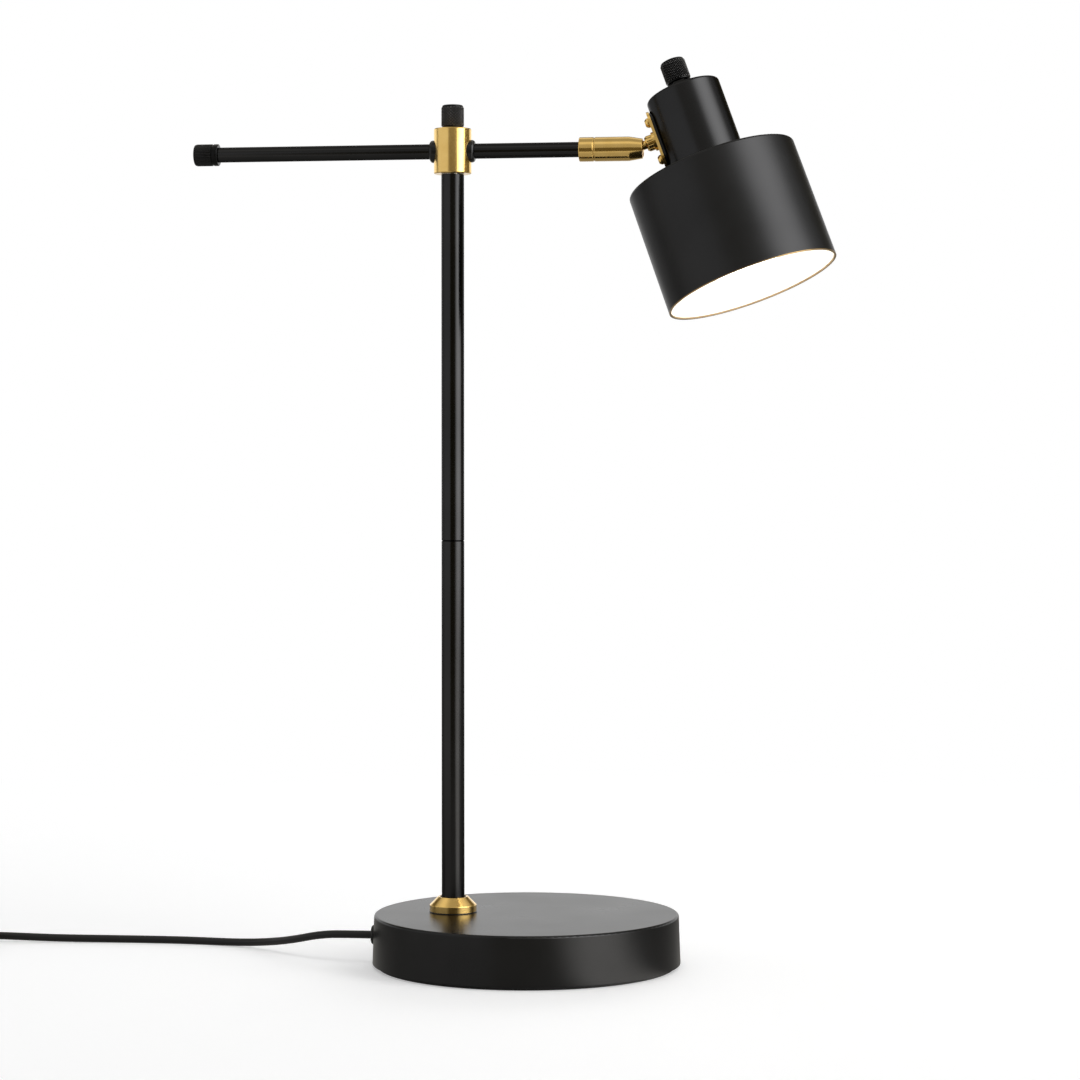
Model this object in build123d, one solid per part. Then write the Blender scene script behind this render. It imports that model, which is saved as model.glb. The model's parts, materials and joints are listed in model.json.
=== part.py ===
from build123d import *

import os
from math import pi, sqrt, tan, radians

# Adjustable desk lamp, in millimetres. +Z is up, the origin is on the floor under the middle of the base,
# and +X runs along the arm from its tail to the lamp head.

# Fits that many pieces share
running_fit = 0.05       # radial, between pieces that turn or slide on each other
close_fit = 0.02         # radial, between pieces that are fixed to each other
body_gap = 0.3           # between faces of pieces that move past each other
lead_bore = 2.2          # radius of the passage that the wiring runs through

# Base
base_radius = 85.6       # at the foot
base_height = 29.0       # floor to top face
base_draft = 1.0         # by which the radius shrinks towards the top
base_edge_round = 1.3
shell_wall = 1.6
foot_gap = 2.0           # floor to the shell's lower edge
pad_thickness = 2.0
pad_width = 20.0
bottom_thickness = 1.2
ballast_thickness = 7.0
ballast_clearance = 0.5  # to the shell's wall
boss_radius = 5.5
boss_inset = 10.5        # from the pad's inner edge to the middle of a boss
boss_count = 3
bottom_screw_radius = 2.0
bottom_screw_head_radius = 3.5
bottom_screw_head_height = 1.1
bottom_screw_length = 14.0

# Pole and what ties it to the base
pole_x = -41.4
pole_radius = 6.35
pole_wall = 1.25
pole_joint_height = 236.0
pole_top = 439.2
joint_chamfer = 0.4
collar_radius = 13.1
collar_rim_height = 4.1
collar_height = 8.7
collar_top_radius = 8.4
collar_edge_round = 0.4
collar_clearance = 0.2   # radial, to the pole
collar_mouth_radius = 7.4
collar_step_height = 3.0  # of the bore that holds the pole, under the wider mouth
nipple_radius = 5.0
nipple_reach = 22.0      # into the pole
nipple_end = 2.0         # below its nut
washer_radius = 10.0
washer_thickness = 1.5
nipple_nut_radius = 9.0
nipple_nut_height = 5.0
coupler_length = 50.0
spigot_plug_length = 18.0
spigot_radius = 4.5
spigot_height = 6.2
spigot_groove_depth = 0.8
spigot_groove_width = 3.4

# Cross block on top of the pole, with the arm's bushes and the clamp
block_radius = 10.5
block_height = 25.0
block_edge = 0.5
bush_radius = 5.2
bush_inner_end = 3.6     # from the pole's axis
bush_flange_radius = 6.2
bush_flange_start = 8.0
bush_end = 12.7
bush_dome_round = 1.8
grub_radius = 1.5
grub_inset = 1.0         # below the block's surface
clamp_screw_radius = 3.0
clamp_tip_radius = 2.6
clamp_tip_height = 3.0
clamp_knob_radius = 6.4
clamp_knob_height = 12.6
clamp_knob_lift = 0.5    # over the block
clamp_knob_round = 1.2
clamp_thread_depth = 8.0

# Arm, in distances from the pole's axis along +X
arm_radius = 4.2
arm_wall = 1.2
arm_tail = -146.6
end_cap_radius = 6.1
end_cap_length = 13.6
end_cap_bore = 9.0
end_cap_round = 0.7
end_cap_groove_place = 2.6
end_cap_groove_width = 0.8
end_cap_groove_depth = 0.5
swivel_start = 71.0
swivel_radius = 6.7
swivel_collar_length = 8.0
swivel_collar_bore = 5.0
swivel_spigot_length = 11.0
swivel_edge = 0.4

# Ball joint at the head end of the arm
ball_place = 102.0
ball_radius = 4.8
sleeve_groove = 0.6      # between collar and sleeve
sleeve_taper_length = 7.7
sleeve_taper_round = 12.0
nose_reach = 4.2         # past the ball's centre
nose_radius = 5.45
nose_edge = 0.3
mouth_radius = 4.75
socket_wrap = 25.0       # degrees that the socket wraps past the ball's middle
seat_gap = 0.1           # between ball and seat
waist_radius = 2.4
neck_start = 6.3         # from the ball's centre along the stud
neck_start_radius = 3.6
neck_shoulder = 1.2
neck_radius = 4.4
flange_radius = 5.3
flange_thickness = 1.5
stud_radius = 3.0
stud_length = 7.4        # past the plate's front
stud_bore = 1.3
flute_count = 14
flute_radius = 0.55
flute_depth = 0.35

# Pose of the head: tilt of the neck above the arm, and turn about the arm towards the front, in degrees
head_tilt = 20.2
head_turn = 7.8

# Plate between the ball stud and the lamp cup
plate_front = 12.0       # from the ball's centre
plate_thickness = 1.5
plate_length = 33.6
plate_width = 14.0
saddle_thickness = 0.5   # at its thinnest
saddle_inset = 0.8
mount_screw_place = 11.0  # up and down from the stud
mount_screw_radius = 1.6
mount_screw_length = 6.6
mount_head_radius = 2.75
mount_head_height = 2.4
mount_head_round = 1.7
mount_nut_radius = 3.2
mount_nut_height = 2.4
stud_nut_radius = 5.5
stud_nut_height = 3.0

# Lamp cup and shade, in heights from the ball's centre along the shade's axis
cup_radius = 20.9
cup_top = 21.2
cup_bottom = -26.4
cup_wall = 1.2
cup_edge_round = 1.6
shade_top_radius = 47.6
shade_rim_radius = 48.1
shade_height = 68.3
shade_wall = 1.2
shade_edge_round = 1.4
shade_inner_round = 1.0

# Lampholder and lamp
holder_radius = 13.8
holder_height = 19.7     # inside the cup
holder_thread_radius = 12.8
holder_thread_length = 13.0
holder_bore = 7.6
holder_bore_end = 12.0   # under the holder's top
holder_edge_round = 0.8
shade_ring_radius = 18.0
shade_ring_height = 6.0
shade_ring_round = 0.8
contact_radius = 3.0
contact_height = 1.2
lamp_cap_radius = 7.0
lamp_cap_length = 24.0
lamp_neck_radius = 9.0
lamp_neck_length = 14.0
lamp_join_radius = 18.0  # where the neck runs into the bulb
lamp_radius = 22.5
lamp_glass_wall = 1.0

# Rotary switch on top of the cup
switch_radius = 8.0
switch_height = 14.0
switch_bush_radius = 4.5
switch_bush_rise = 5.0   # over the cup's top
switch_washer_radius = 6.4
switch_washer_thickness = 0.6
switch_nut_radius = 6.0
switch_nut_height = 4.5
switch_knob_radius = 7.2
switch_knob_height = 12.7
switch_knob_round = 1.8
switch_knob_foot_round = 0.6
switch_shaft_radius = 3.0
switch_shaft_depth = 11.0  # below the cup's top
switch_shaft_rise = 13.0   # over the cup's top

# Supply cord
cord_radius = 2.2
cord_exit_height = 15.1
grommet_flange_radius = 5.5
grommet_reach = 2.0      # out of the shell
grommet_neck_radius = 4.2
grommet_inner_radius = 5.2
grommet_inner_length = 2.2
grommet_round = 1.2
coil_centre = (-349.0, 3.0)
coil_outer_radius = 37.2
coil_pitch = 4.85        # from one turn to the next beside it
coil_layer = 4.9         # from one layer to the next
coil_quarters_in = 16    # quarter turns of the lower layer
coil_quarters_out = 15   # quarter turns of the upper layer
lead_out_radius = 22.0   # of the bend that leads away to the plug
lead_out_turn = 30.0     # degrees
tie_thickness = 1.0
tie_width = 8.0
tie_gap = 0.3
tie_slack = 0.8
tie_round = 2.0
plug_width = 24.0
plug_length = 26.0
plug_round = 4.0
plug_relief_length = 16.0
plug_relief_radius = 5.0
plug_relief_end_radius = 3.2
blade_width = 6.3
blade_thickness = 1.5
blade_length = 17.0
blade_spacing = 12.7
corner_share = 0.45      # of the shorter run beside a bend, taken up by the bend

# Places worked out from the sizes
shell_top_radius = base_radius - base_draft
ceiling = base_height - shell_wall
ballast_radius = shell_top_radius - shell_wall - ballast_clearance
ballast_bottom = ceiling - ballast_thickness
pad_inner_radius = ballast_radius - pad_width
boss_circle = pad_inner_radius - boss_inset
bottom_top = pad_thickness + bottom_thickness
pole_bore = pole_radius - pole_wall
block_bottom = pole_top + body_gap
arm_height = block_bottom + block_height / 2
arm_bore = arm_radius - arm_wall
clamp_tip_bottom = block_height / 2 + arm_radius + running_fit
clamp_tip_top = clamp_tip_bottom + clamp_tip_height
clamp_knob_bottom = block_height + clamp_knob_lift
clamp_screw_top = clamp_knob_bottom + clamp_thread_depth
end_cap_inner_end = arm_tail + end_cap_length
arm_tube_start = end_cap_inner_end - end_cap_bore
arm_tube_end = swivel_start + swivel_collar_bore
swivel_collar_end = swivel_start + swivel_collar_length
swivel_spigot_end = swivel_collar_end + swivel_spigot_length
swivel_spigot_radius = ball_radius - running_fit
socket_radius = ball_radius + running_fit
nose_end = ball_place + nose_reach
plate_back = plate_front + plate_thickness
cup_axis = plate_back + saddle_thickness + cup_radius
saddle_end = cup_axis - sqrt(cup_radius**2 - (plate_width / 2) ** 2)
shade_rim = cup_bottom - shade_height
holder_seat = cup_bottom + cup_wall
holder_top = holder_seat + holder_height
lamp_cap_top = holder_top - holder_bore_end - contact_height - close_fit
lamp_cap_bottom = lamp_cap_top - lamp_cap_length
knob_bottom = cup_top + switch_washer_thickness + switch_nut_height + body_gap
grommet_seat = shell_wall - base_radius + base_draft
layer_height = cord_radius + tie_gap + tie_thickness
upper_layer_height = layer_height + coil_layer

along_x = Rot(Y=90)
along_y = Rot(X=-90)
pole_place = Pos(pole_x, 0, 0)
block_place = Pos(pole_x, 0, block_bottom)
arm_place = Pos(pole_x, 0, arm_height)
ball_centre = Pos(pole_x + ball_place, 0, arm_height)
head_place = ball_centre * Rot(X=-head_turn) * Rot(Y=-head_tilt)
shade_place = head_place * Pos(cup_axis, 0, 0)

# Route of the free stretch of cord, from inside the grommet to the start of the coil
cord_route = [
    (-81.5, 0.0, cord_exit_height),
    (-99.0, 0.0, cord_exit_height),
    (-117.0, 4.5, 14.1),
    (-137.0, 16.0, 8.6),
    (-157.0, 33.0, 4.2),
    (-176.0, 42.5, cord_radius),
    (-208.0, 47.0, cord_radius),
    (-245.0, 46.0, cord_radius),
    (-283.0, 42.5, 2.4),
    (-318.0, coil_centre[1] + coil_outer_radius, layer_height),
    (coil_centre[0] + 2 * cord_radius, coil_centre[1] + coil_outer_radius, layer_height),
]


def turned(axis, *corners):
    """Solid turned about an axis from corners in the XZ plane; a third value rounds a corner."""
    points = [corner[:2] for corner in corners]
    rounds = [corner[2] if len(corner) > 2 else 0 for corner in corners]
    return revolve(Plane.XZ * make_face(FilletPolyline(*points, radius=rounds, close=True)), axis)


def tube(inner, outer, start, end):
    """Plain tube on Z between two heights."""
    return turned(Axis.Z, (inner, start), (outer, start), (outer, end), (inner, end))


def rod(radius, start, end):
    """Plain rod on Z between two heights."""
    return turned(Axis.Z, (0, start), (radius, start), (radius, end), (0, end))


def hex_nut(corner_radius, bore, height):
    """Hexagon nut that stands on the XY plane."""
    blank = extrude(RegularPolygon(corner_radius, 6), height)
    return blank - rod(bore, 0, height)


# Base pieces
def base_shell():
    shell = turned(
        Axis.Z,
        (0, base_height),
        (shell_top_radius, base_height, base_edge_round),
        (base_radius, foot_gap),
        (base_radius - shell_wall, foot_gap),
        (shell_top_radius - shell_wall, ceiling),
        (0, ceiling),
    )
    shell -= pole_place * rod(nipple_radius + body_gap, ceiling, base_height)
    shell -= Pos(0, 0, cord_exit_height) * along_x * rod(
        grommet_neck_radius + close_fit, -base_radius, grommet_seat
    )
    return shell


def base_ballast():
    ballast = rod(ballast_radius, ballast_bottom, ceiling)
    for place in PolarLocations(boss_circle, boss_count):
        ballast += place * rod(boss_radius, bottom_top, ballast_bottom)
    for place in PolarLocations(boss_circle, boss_count):
        ballast -= place * rod(
            bottom_screw_radius + close_fit, bottom_top, pad_thickness + bottom_screw_length
        )
    return ballast - pole_place * rod(nipple_radius + body_gap, ballast_bottom, ceiling)


def bottom_plate():
    plate = rod(ballast_radius, pad_thickness, bottom_top)
    for place in PolarLocations(boss_circle, boss_count):
        plate -= place * rod(bottom_screw_radius + close_fit, pad_thickness, bottom_top)
    return plate


def foot_pad():
    return tube(pad_inner_radius, ballast_radius, 0, pad_thickness)


def bottom_screw():
    head = rod(bottom_screw_head_radius, pad_thickness - bottom_screw_head_height, pad_thickness)
    return head + rod(bottom_screw_radius, pad_thickness, pad_thickness + bottom_screw_length)


# Pole pieces
def pole_collar():
    bore = pole_radius + collar_clearance
    collar = turned(
        Axis.Z,
        (bore, base_height),
        (collar_radius, base_height),
        (collar_radius, base_height + collar_rim_height, collar_edge_round),
        (collar_top_radius, base_height + collar_height, collar_edge_round),
        (collar_mouth_radius, base_height + collar_height),
        (collar_mouth_radius, base_height + collar_step_height),
        (bore, base_height + collar_step_height),
    )
    return pole_place * collar


def pole_nipple():
    end = ballast_bottom - washer_thickness - nipple_nut_height - nipple_end
    return pole_place * tube(lead_bore, nipple_radius, end, base_height + nipple_reach)


def nipple_washer():
    washer = tube(
        nipple_radius + running_fit, washer_radius, ballast_bottom - washer_thickness, ballast_bottom
    )
    return pole_place * washer


def nipple_nut():
    nut = hex_nut(nipple_nut_radius, nipple_radius + close_fit, nipple_nut_height)
    return pole_place * Pos(0, 0, ballast_bottom - washer_thickness - nipple_nut_height) * nut


def pole_lower():
    lower = turned(
        Axis.Z,
        (pole_bore, base_height),
        (pole_radius, base_height),
        (pole_radius, pole_joint_height - joint_chamfer),
        (pole_radius - joint_chamfer, pole_joint_height),
        (pole_bore, pole_joint_height),
    )
    return pole_place * lower


def pole_upper():
    upper = turned(
        Axis.Z,
        (pole_bore, pole_joint_height),
        (pole_radius - joint_chamfer, pole_joint_height),
        (pole_radius, pole_joint_height + joint_chamfer),
        (pole_radius, pole_top),
        (pole_bore, pole_top),
    )
    return pole_place * upper


def pole_coupler():
    half = coupler_length / 2
    coupler = tube(
        lead_bore, pole_bore - close_fit, pole_joint_height - half, pole_joint_height + half
    )
    return pole_place * coupler


def pole_spigot():
    groove_middle = block_bottom + spigot_height / 2
    groove = tube(
        spigot_radius - spigot_groove_depth,
        spigot_radius + body_gap,
        groove_middle - spigot_groove_width / 2,
        groove_middle + spigot_groove_width / 2,
    )
    plug = tube(lead_bore, pole_bore - close_fit, pole_top - spigot_plug_length, pole_top)
    pin = tube(lead_bore, spigot_radius, pole_top, block_bottom + spigot_height)
    return pole_place * (plug + pin - groove)


# Block and clamp pieces
def cross_block():
    middle = block_height / 2
    block = rod(block_radius, 0, block_height)
    block = chamfer(block.edges().filter_by(GeomType.CIRCLE), block_edge)
    block -= rod(spigot_radius + running_fit, 0, spigot_height + body_gap)
    block -= rod(clamp_screw_radius + running_fit, middle, block_height)
    block -= Pos(0, 0, middle) * along_x * rod(bush_radius + close_fit, -block_radius, block_radius)
    for side in (-1, 1):
        block -= Pos(0, 0, middle) * along_x * rod(
            bush_flange_radius + close_fit, side * bush_flange_start, side * block_radius
        )
    block -= Pos(0, 0, spigot_height / 2) * along_y * rod(grub_radius + close_fit, 0, block_radius)
    return block_place * block


def arm_bush(side):
    bore = arm_radius + running_fit
    bush = turned(
        Axis.X,
        (bush_inner_end, bore),
        (bush_inner_end, bush_radius),
        (bush_flange_start, bush_radius),
        (bush_flange_start, bush_flange_radius),
        (bush_end, bush_flange_radius, bush_dome_round),
        (bush_end, bore),
    )
    return arm_place * (bush if side > 0 else mirror(bush, Plane.YZ))


def block_grub():
    tip = spigot_radius - spigot_groove_depth + body_gap
    grub = along_y * rod(grub_radius, tip, block_radius - grub_inset)
    return block_place * Pos(0, 0, spigot_height / 2) * grub


def clamp_knob():
    knob = turned(
        Axis.Z,
        (0, clamp_screw_top),
        (clamp_screw_radius + close_fit, clamp_screw_top),
        (clamp_screw_radius + close_fit, clamp_knob_bottom),
        (clamp_knob_radius, clamp_knob_bottom),
        (clamp_knob_radius, clamp_knob_bottom + clamp_knob_height, clamp_knob_round),
        (0, clamp_knob_bottom + clamp_knob_height),
    )
    return block_place * knob


def clamp_screw():
    return block_place * rod(clamp_screw_radius, clamp_tip_top, clamp_screw_top)


def clamp_tip():
    return block_place * rod(clamp_tip_radius, clamp_tip_bottom, clamp_tip_top)


# Arm pieces
def arm_tube():
    return arm_place * along_x * tube(arm_bore, arm_radius, arm_tube_start, arm_tube_end)


def arm_end_cap():
    groove_end = end_cap_inner_end - end_cap_groove_place
    bore = arm_radius + close_fit
    cap = turned(
        Axis.X,
        (arm_tail, 0),
        (arm_tail, end_cap_radius, end_cap_round),
        (end_cap_inner_end, end_cap_radius),
        (end_cap_inner_end, bore),
        (arm_tube_start, bore),
        (arm_tube_start, 0),
    )
    cap -= along_x * tube(
        end_cap_radius - end_cap_groove_depth,
        end_cap_radius + end_cap_groove_depth,
        groove_end - end_cap_groove_width,
        groove_end,
    )
    return arm_place * cap


def swivel_collar():
    bore = arm_radius + close_fit
    collar = turned(
        Axis.X,
        (swivel_start, bore),
        (swivel_start, swivel_radius, swivel_edge),
        (swivel_collar_end, swivel_radius, swivel_edge),
        (swivel_collar_end, swivel_spigot_radius),
        (swivel_spigot_end, swivel_spigot_radius),
        (swivel_spigot_end, lead_bore),
        (arm_tube_end, lead_bore),
        (arm_tube_end, bore),
    )
    return arm_place * collar


# Ball joint pieces
def swivel_sleeve():
    start = swivel_collar_end + sleeve_groove
    sleeve = turned(
        Axis.X,
        (start, 0),
        (start, swivel_radius, swivel_edge),
        (nose_end - sleeve_taper_length, swivel_radius, sleeve_taper_round),
        (nose_end, nose_radius, nose_edge),
        (nose_end, 0),
    )
    seat = CenterArc((ball_place, 0), socket_radius, 90, -socket_wrap)
    bore_back = (start, socket_radius)
    mouth_edge = (nose_end, mouth_radius)
    bore = Polyline(seat @ 0, bore_back, (start, 0), (nose_end, 0), mouth_edge, seat @ 1)
    cavity = revolve(Plane.XZ * make_face([*bore.edges(), seat]), Axis.X)
    return arm_place * (sleeve - cavity)


def ball_seat():
    start = swivel_spigot_end + body_gap
    seat = along_x * tube(stud_bore, swivel_spigot_radius, start, ball_place)
    return arm_place * (seat - Pos(ball_place, 0, 0) * Sphere(ball_radius + seat_gap))


def ball_stud():
    flange_start = plate_front - flange_thickness
    shank = turned(
        Axis.X,
        (0, 0),
        (0, waist_radius),
        (neck_start, waist_radius),
        (neck_start, neck_start_radius),
        (neck_start + neck_shoulder, neck_radius),
        (flange_start, neck_radius),
        (flange_start, flange_radius),
        (plate_front, flange_radius),
        (plate_front, stud_radius),
        (plate_front + stud_length, stud_radius),
        (plate_front + stud_length, 0),
    )
    stud = shank + Sphere(ball_radius)
    flute = along_x * rod(flute_radius, neck_start, flange_start)
    flute_place = neck_radius + flute_radius - flute_depth
    for place in Plane.YZ * PolarLocations(flute_place, flute_count):
        stud -= Pos(0, place.position.Y, place.position.Z) * flute
    stud -= along_x * rod(stud_bore, -ball_radius, plate_front + stud_length)
    return head_place * stud


def stud_nut():
    inner = cup_radius - cup_wall
    start = cup_axis - sqrt(inner**2 - stud_nut_radius**2) + close_fit
    nut = hex_nut(stud_nut_radius, stud_radius + close_fit, stud_nut_height)
    return head_place * Pos(start, 0, 0) * Rot(Y=90) * nut


# Mount plate pieces
def mount_outline(inset):
    """Outline of the plate in the YZ plane, with round ends, shrunk by an inset."""
    return Plane.YZ * Rot(Z=90) * SlotOverall(plate_length - 2 * inset, plate_width - 2 * inset)


def mount_holes(end):
    """Holes for the stud and the two screws, from in front of the plate to an end."""
    holes = along_x * rod(stud_radius + close_fit, plate_front, end)
    for height in (-mount_screw_place, mount_screw_place):
        holes += Pos(0, 0, height) * along_x * rod(mount_screw_radius + close_fit, plate_front, end)
    return holes


def mount_plate():
    plate = Pos(plate_front, 0, 0) * extrude(mount_outline(0), plate_thickness, dir=(1, 0, 0))
    return head_place * (plate - mount_holes(plate_back))


def mount_saddle():
    outline = mount_outline(saddle_inset)
    block = Pos(plate_back, 0, 0) * extrude(outline, saddle_end - plate_back, dir=(1, 0, 0))
    block -= Pos(cup_axis, 0, 0) * rod(cup_radius + close_fit, -plate_length, plate_length)
    return head_place * (block - mount_holes(saddle_end))


def mount_screw(height):
    front = plate_front - mount_head_height
    screw = turned(
        Axis.X,
        (front, 0),
        (front, mount_head_radius, mount_head_round),
        (plate_front, mount_head_radius),
        (plate_front, mount_screw_radius),
        (plate_front + mount_screw_length, mount_screw_radius),
        (plate_front + mount_screw_length, 0),
    )
    return head_place * Pos(0, 0, height) * screw


def mount_nut(height):
    inner = cup_radius - cup_wall
    start = cup_axis - sqrt(inner**2 - mount_nut_radius**2) + close_fit
    nut = hex_nut(mount_nut_radius, mount_screw_radius + close_fit, mount_nut_height)
    return head_place * Pos(start, 0, height) * Rot(Y=90) * nut


# Cup, shade and lamp pieces, on the shade's axis
def lamp_cup():
    inner = cup_radius - cup_wall
    cup = turned(
        Axis.Z,
        (switch_bush_radius + close_fit, cup_top),
        (cup_radius, cup_top, cup_edge_round),
        (cup_radius, cup_bottom),
        (holder_thread_radius + close_fit, cup_bottom),
        (holder_thread_radius + close_fit, holder_seat),
        (inner, holder_seat),
        (inner, cup_top - cup_wall, cup_edge_round - cup_wall),
        (switch_bush_radius + close_fit, cup_top - cup_wall),
    )
    cup -= Pos(-cup_axis, 0, 0) * mount_holes(cup_axis)
    return shade_place * cup


def shade():
    bore = holder_thread_radius + close_fit
    drum = turned(
        Axis.Z,
        (bore, cup_bottom),
        (shade_top_radius, cup_bottom, shade_edge_round),
        (shade_rim_radius, shade_rim),
        (shade_rim_radius - shade_wall, shade_rim),
        (shade_top_radius - shade_wall, cup_bottom - shade_wall, shade_inner_round),
        (bore, cup_bottom - shade_wall),
    )
    return shade_place * drum


def shade_ring():
    top = cup_bottom - shade_wall
    ring = turned(
        Axis.Z,
        (holder_thread_radius + close_fit, top),
        (shade_ring_radius, top),
        (shade_ring_radius, top - shade_ring_height, shade_ring_round),
        (holder_thread_radius + close_fit, top - shade_ring_height),
    )
    return shade_place * ring


def lampholder():
    thread_end = holder_seat - holder_thread_length
    holder = turned(
        Axis.Z,
        (0, holder_top),
        (holder_radius, holder_top, holder_edge_round),
        (holder_radius, holder_seat),
        (holder_thread_radius, holder_seat),
        (holder_thread_radius, thread_end),
        (holder_bore, thread_end),
        (holder_bore, holder_top - holder_bore_end),
        (0, holder_top - holder_bore_end),
    )
    return shade_place * holder


def lampholder_contact():
    top = holder_top - holder_bore_end
    return shade_place * rod(contact_radius, top - contact_height, top)


def lamp_cap():
    return shade_place * rod(lamp_cap_radius, lamp_cap_bottom, lamp_cap_top)


def lamp_envelope(wall):
    """Round lamp envelope with a neck, drawn in from its outside by a wall."""
    neck_end = lamp_cap_bottom - lamp_neck_length
    centre = neck_end - sqrt(lamp_radius**2 - lamp_join_radius**2)
    neck = turned(
        Axis.Z,
        (0, lamp_cap_bottom),
        (lamp_neck_radius - wall, lamp_cap_bottom),
        (lamp_join_radius - wall, neck_end),
        (0, neck_end),
    )
    return neck + Pos(0, 0, centre) * Sphere(lamp_radius - wall)


def lamp_glass():
    return shade_place * (lamp_envelope(0) - lamp_envelope(lamp_glass_wall))


# Switch pieces
def rotary_switch():
    ceiling_height = cup_top - cup_wall
    switch = rod(switch_radius, ceiling_height - switch_height, ceiling_height)
    switch += rod(switch_bush_radius, ceiling_height, cup_top + switch_bush_rise)
    switch -= rod(switch_shaft_radius + running_fit, cup_top - switch_shaft_depth - body_gap, knob_bottom)
    return shade_place * switch


def switch_washer():
    return shade_place * tube(
        switch_bush_radius + close_fit, switch_washer_radius, cup_top, cup_top + switch_washer_thickness
    )


def switch_nut():
    nut = hex_nut(switch_nut_radius, switch_bush_radius + close_fit, switch_nut_height)
    return shade_place * Pos(0, 0, cup_top + switch_washer_thickness) * nut


def switch_knob():
    shaft_top = cup_top + switch_shaft_rise
    knob = turned(
        Axis.Z,
        (0, shaft_top),
        (switch_shaft_radius + close_fit, shaft_top),
        (switch_shaft_radius + close_fit, knob_bottom),
        (switch_knob_radius, knob_bottom, switch_knob_foot_round),
        (switch_knob_radius, knob_bottom + switch_knob_height, switch_knob_round),
        (0, knob_bottom + switch_knob_height),
    )
    return shade_place * knob


def switch_shaft():
    return shade_place * rod(
        switch_shaft_radius, cup_top - switch_shaft_depth, cup_top + switch_shaft_rise
    )


# Cord pieces
def cord_grommet():
    face = -base_radius
    end = grommet_seat + grommet_inner_length
    bore = cord_radius + running_fit
    grommet = turned(
        Axis.X,
        (face - grommet_reach, bore),
        (face - grommet_reach, grommet_flange_radius, grommet_round),
        (face, grommet_flange_radius),
        (face, grommet_neck_radius),
        (grommet_seat, grommet_neck_radius),
        (grommet_seat, grommet_inner_radius),
        (end, grommet_inner_radius),
        (end, bore),
    )
    return Pos(0, 0, cord_exit_height) * grommet


def corner_radii(points):
    """Largest even radius at each inner corner of a route."""
    radii = []
    for before, here, after in zip(points, points[1:], points[2:]):
        run_in = Vector(here) - Vector(before)
        run_out = Vector(after) - Vector(here)
        half_turn = radians(run_in.get_angle(run_out)) / 2
        radii.append(corner_share * min(run_in.length, run_out.length) / tan(half_turn))
    return radii


def swept_cord(path):
    """Round cord along a path."""
    section = Plane(path @ 0, z_dir=path % 0) * Circle(cord_radius)
    return sweep(section, path=path)


def cord_free_path():
    return FilletPolyline(*cord_route, radius=corner_radii(cord_route))


def coil_path():
    """Flat spiral in, a half turn that climbs one layer, and the same spiral out again, ends straight."""
    step = coil_pitch / 4
    stub = 2 * cord_radius
    inner_radius = coil_outer_radius - step * coil_quarters_in
    lower = [coil_outer_radius - step * index for index in range(coil_quarters_in)]
    upper = [inner_radius + step * (index + 1) for index in range(coil_quarters_out)]
    climb = range(coil_quarters_in, coil_quarters_in + 2)
    centre = Vector(*coil_centre, layer_height)
    normal = Vector(0, 1, 0)
    heading = Vector(-1, 0, 0)
    radius = coil_outer_radius
    here = centre + normal * radius
    edges = [Edge.make_line(here - heading * stub, here)]
    for index, next_radius in enumerate(lower + [inner_radius, inner_radius] + upper):
        rise = coil_layer / 2 if index in climb else 0
        centre += normal * (radius - next_radius) + Vector(0, 0, rise)
        radius = next_radius
        normal = normal.rotate(Axis.Z, 90)
        reach = sqrt(radius**2 + rise**2) if index == climb[0] else radius
        target = centre + normal * reach
        edges.append(Edge.make_tangent_arc(here, heading, target))
        here = target
        heading = edges[-1] % 1
    away = normal * lead_out_radius
    target = here + away - away.rotate(Axis.Z, -lead_out_turn)
    edges.append(Edge.make_tangent_arc(here, heading, target))
    heading = edges[-1] % 1
    edges.append(Edge.make_line(target, target + heading * stub))
    return Wire(edges)


def least_gap(path, radius):
    """Least gap of a tube along a path to itself, measured on points, away from its near neighbours."""
    count = int(path.length / radius)
    points = [path @ (index / count) for index in range(count + 1)]
    apart = int(pi * coil_outer_radius / 2 / radius)
    pairs = (
        (points[first] - points[second]).length
        for first in range(count + 1)
        for second in range(first + apart, count + 1)
    )
    return min(pairs) - 2 * radius


def cord_tie():
    inner_radius = coil_outer_radius - coil_quarters_in * coil_pitch / 4
    width = coil_outer_radius - inner_radius + 2 * (cord_radius + tie_slack)
    height = coil_layer + 2 * (cord_radius + tie_gap)
    middle = (coil_outer_radius + inner_radius) / 2
    inner = RectangleRounded(width, height, tie_round)
    band = extrude(offset(inner, tie_thickness) - inner, tie_width / 2, both=True)
    place = Pos(coil_centre[0], coil_centre[1] - middle, layer_height + coil_layer / 2)
    return place * Rot(Y=90) * Rot(Z=90) * band


def plug_place(path):
    """Place of the plug: its +X runs on from the cord's end, with its flat sides level."""
    return Location(Plane(path @ 1, x_dir=path % 1, z_dir=(0, 0, 1)))


def plug_body(path):
    thickness = 2 * upper_layer_height
    relief = turned(
        Axis.X,
        (0, 0),
        (0, plug_relief_end_radius),
        (plug_relief_length, plug_relief_radius),
        (plug_relief_length, 0),
    )
    section = Plane.YZ * RectangleRounded(plug_width, thickness, plug_round)
    grip = Pos(plug_relief_length, 0, 0) * extrude(section, plug_length, dir=(1, 0, 0))
    return plug_place(path) * (relief + grip)


def plug_blade(path, side):
    start = plug_relief_length + plug_length
    blade = Pos(start + blade_length / 2, side * blade_spacing / 2, 0) * Box(
        blade_length, blade_thickness, blade_width
    )
    return plug_place(path) * blade


free_path = cord_free_path()
coil = coil_path()

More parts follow.
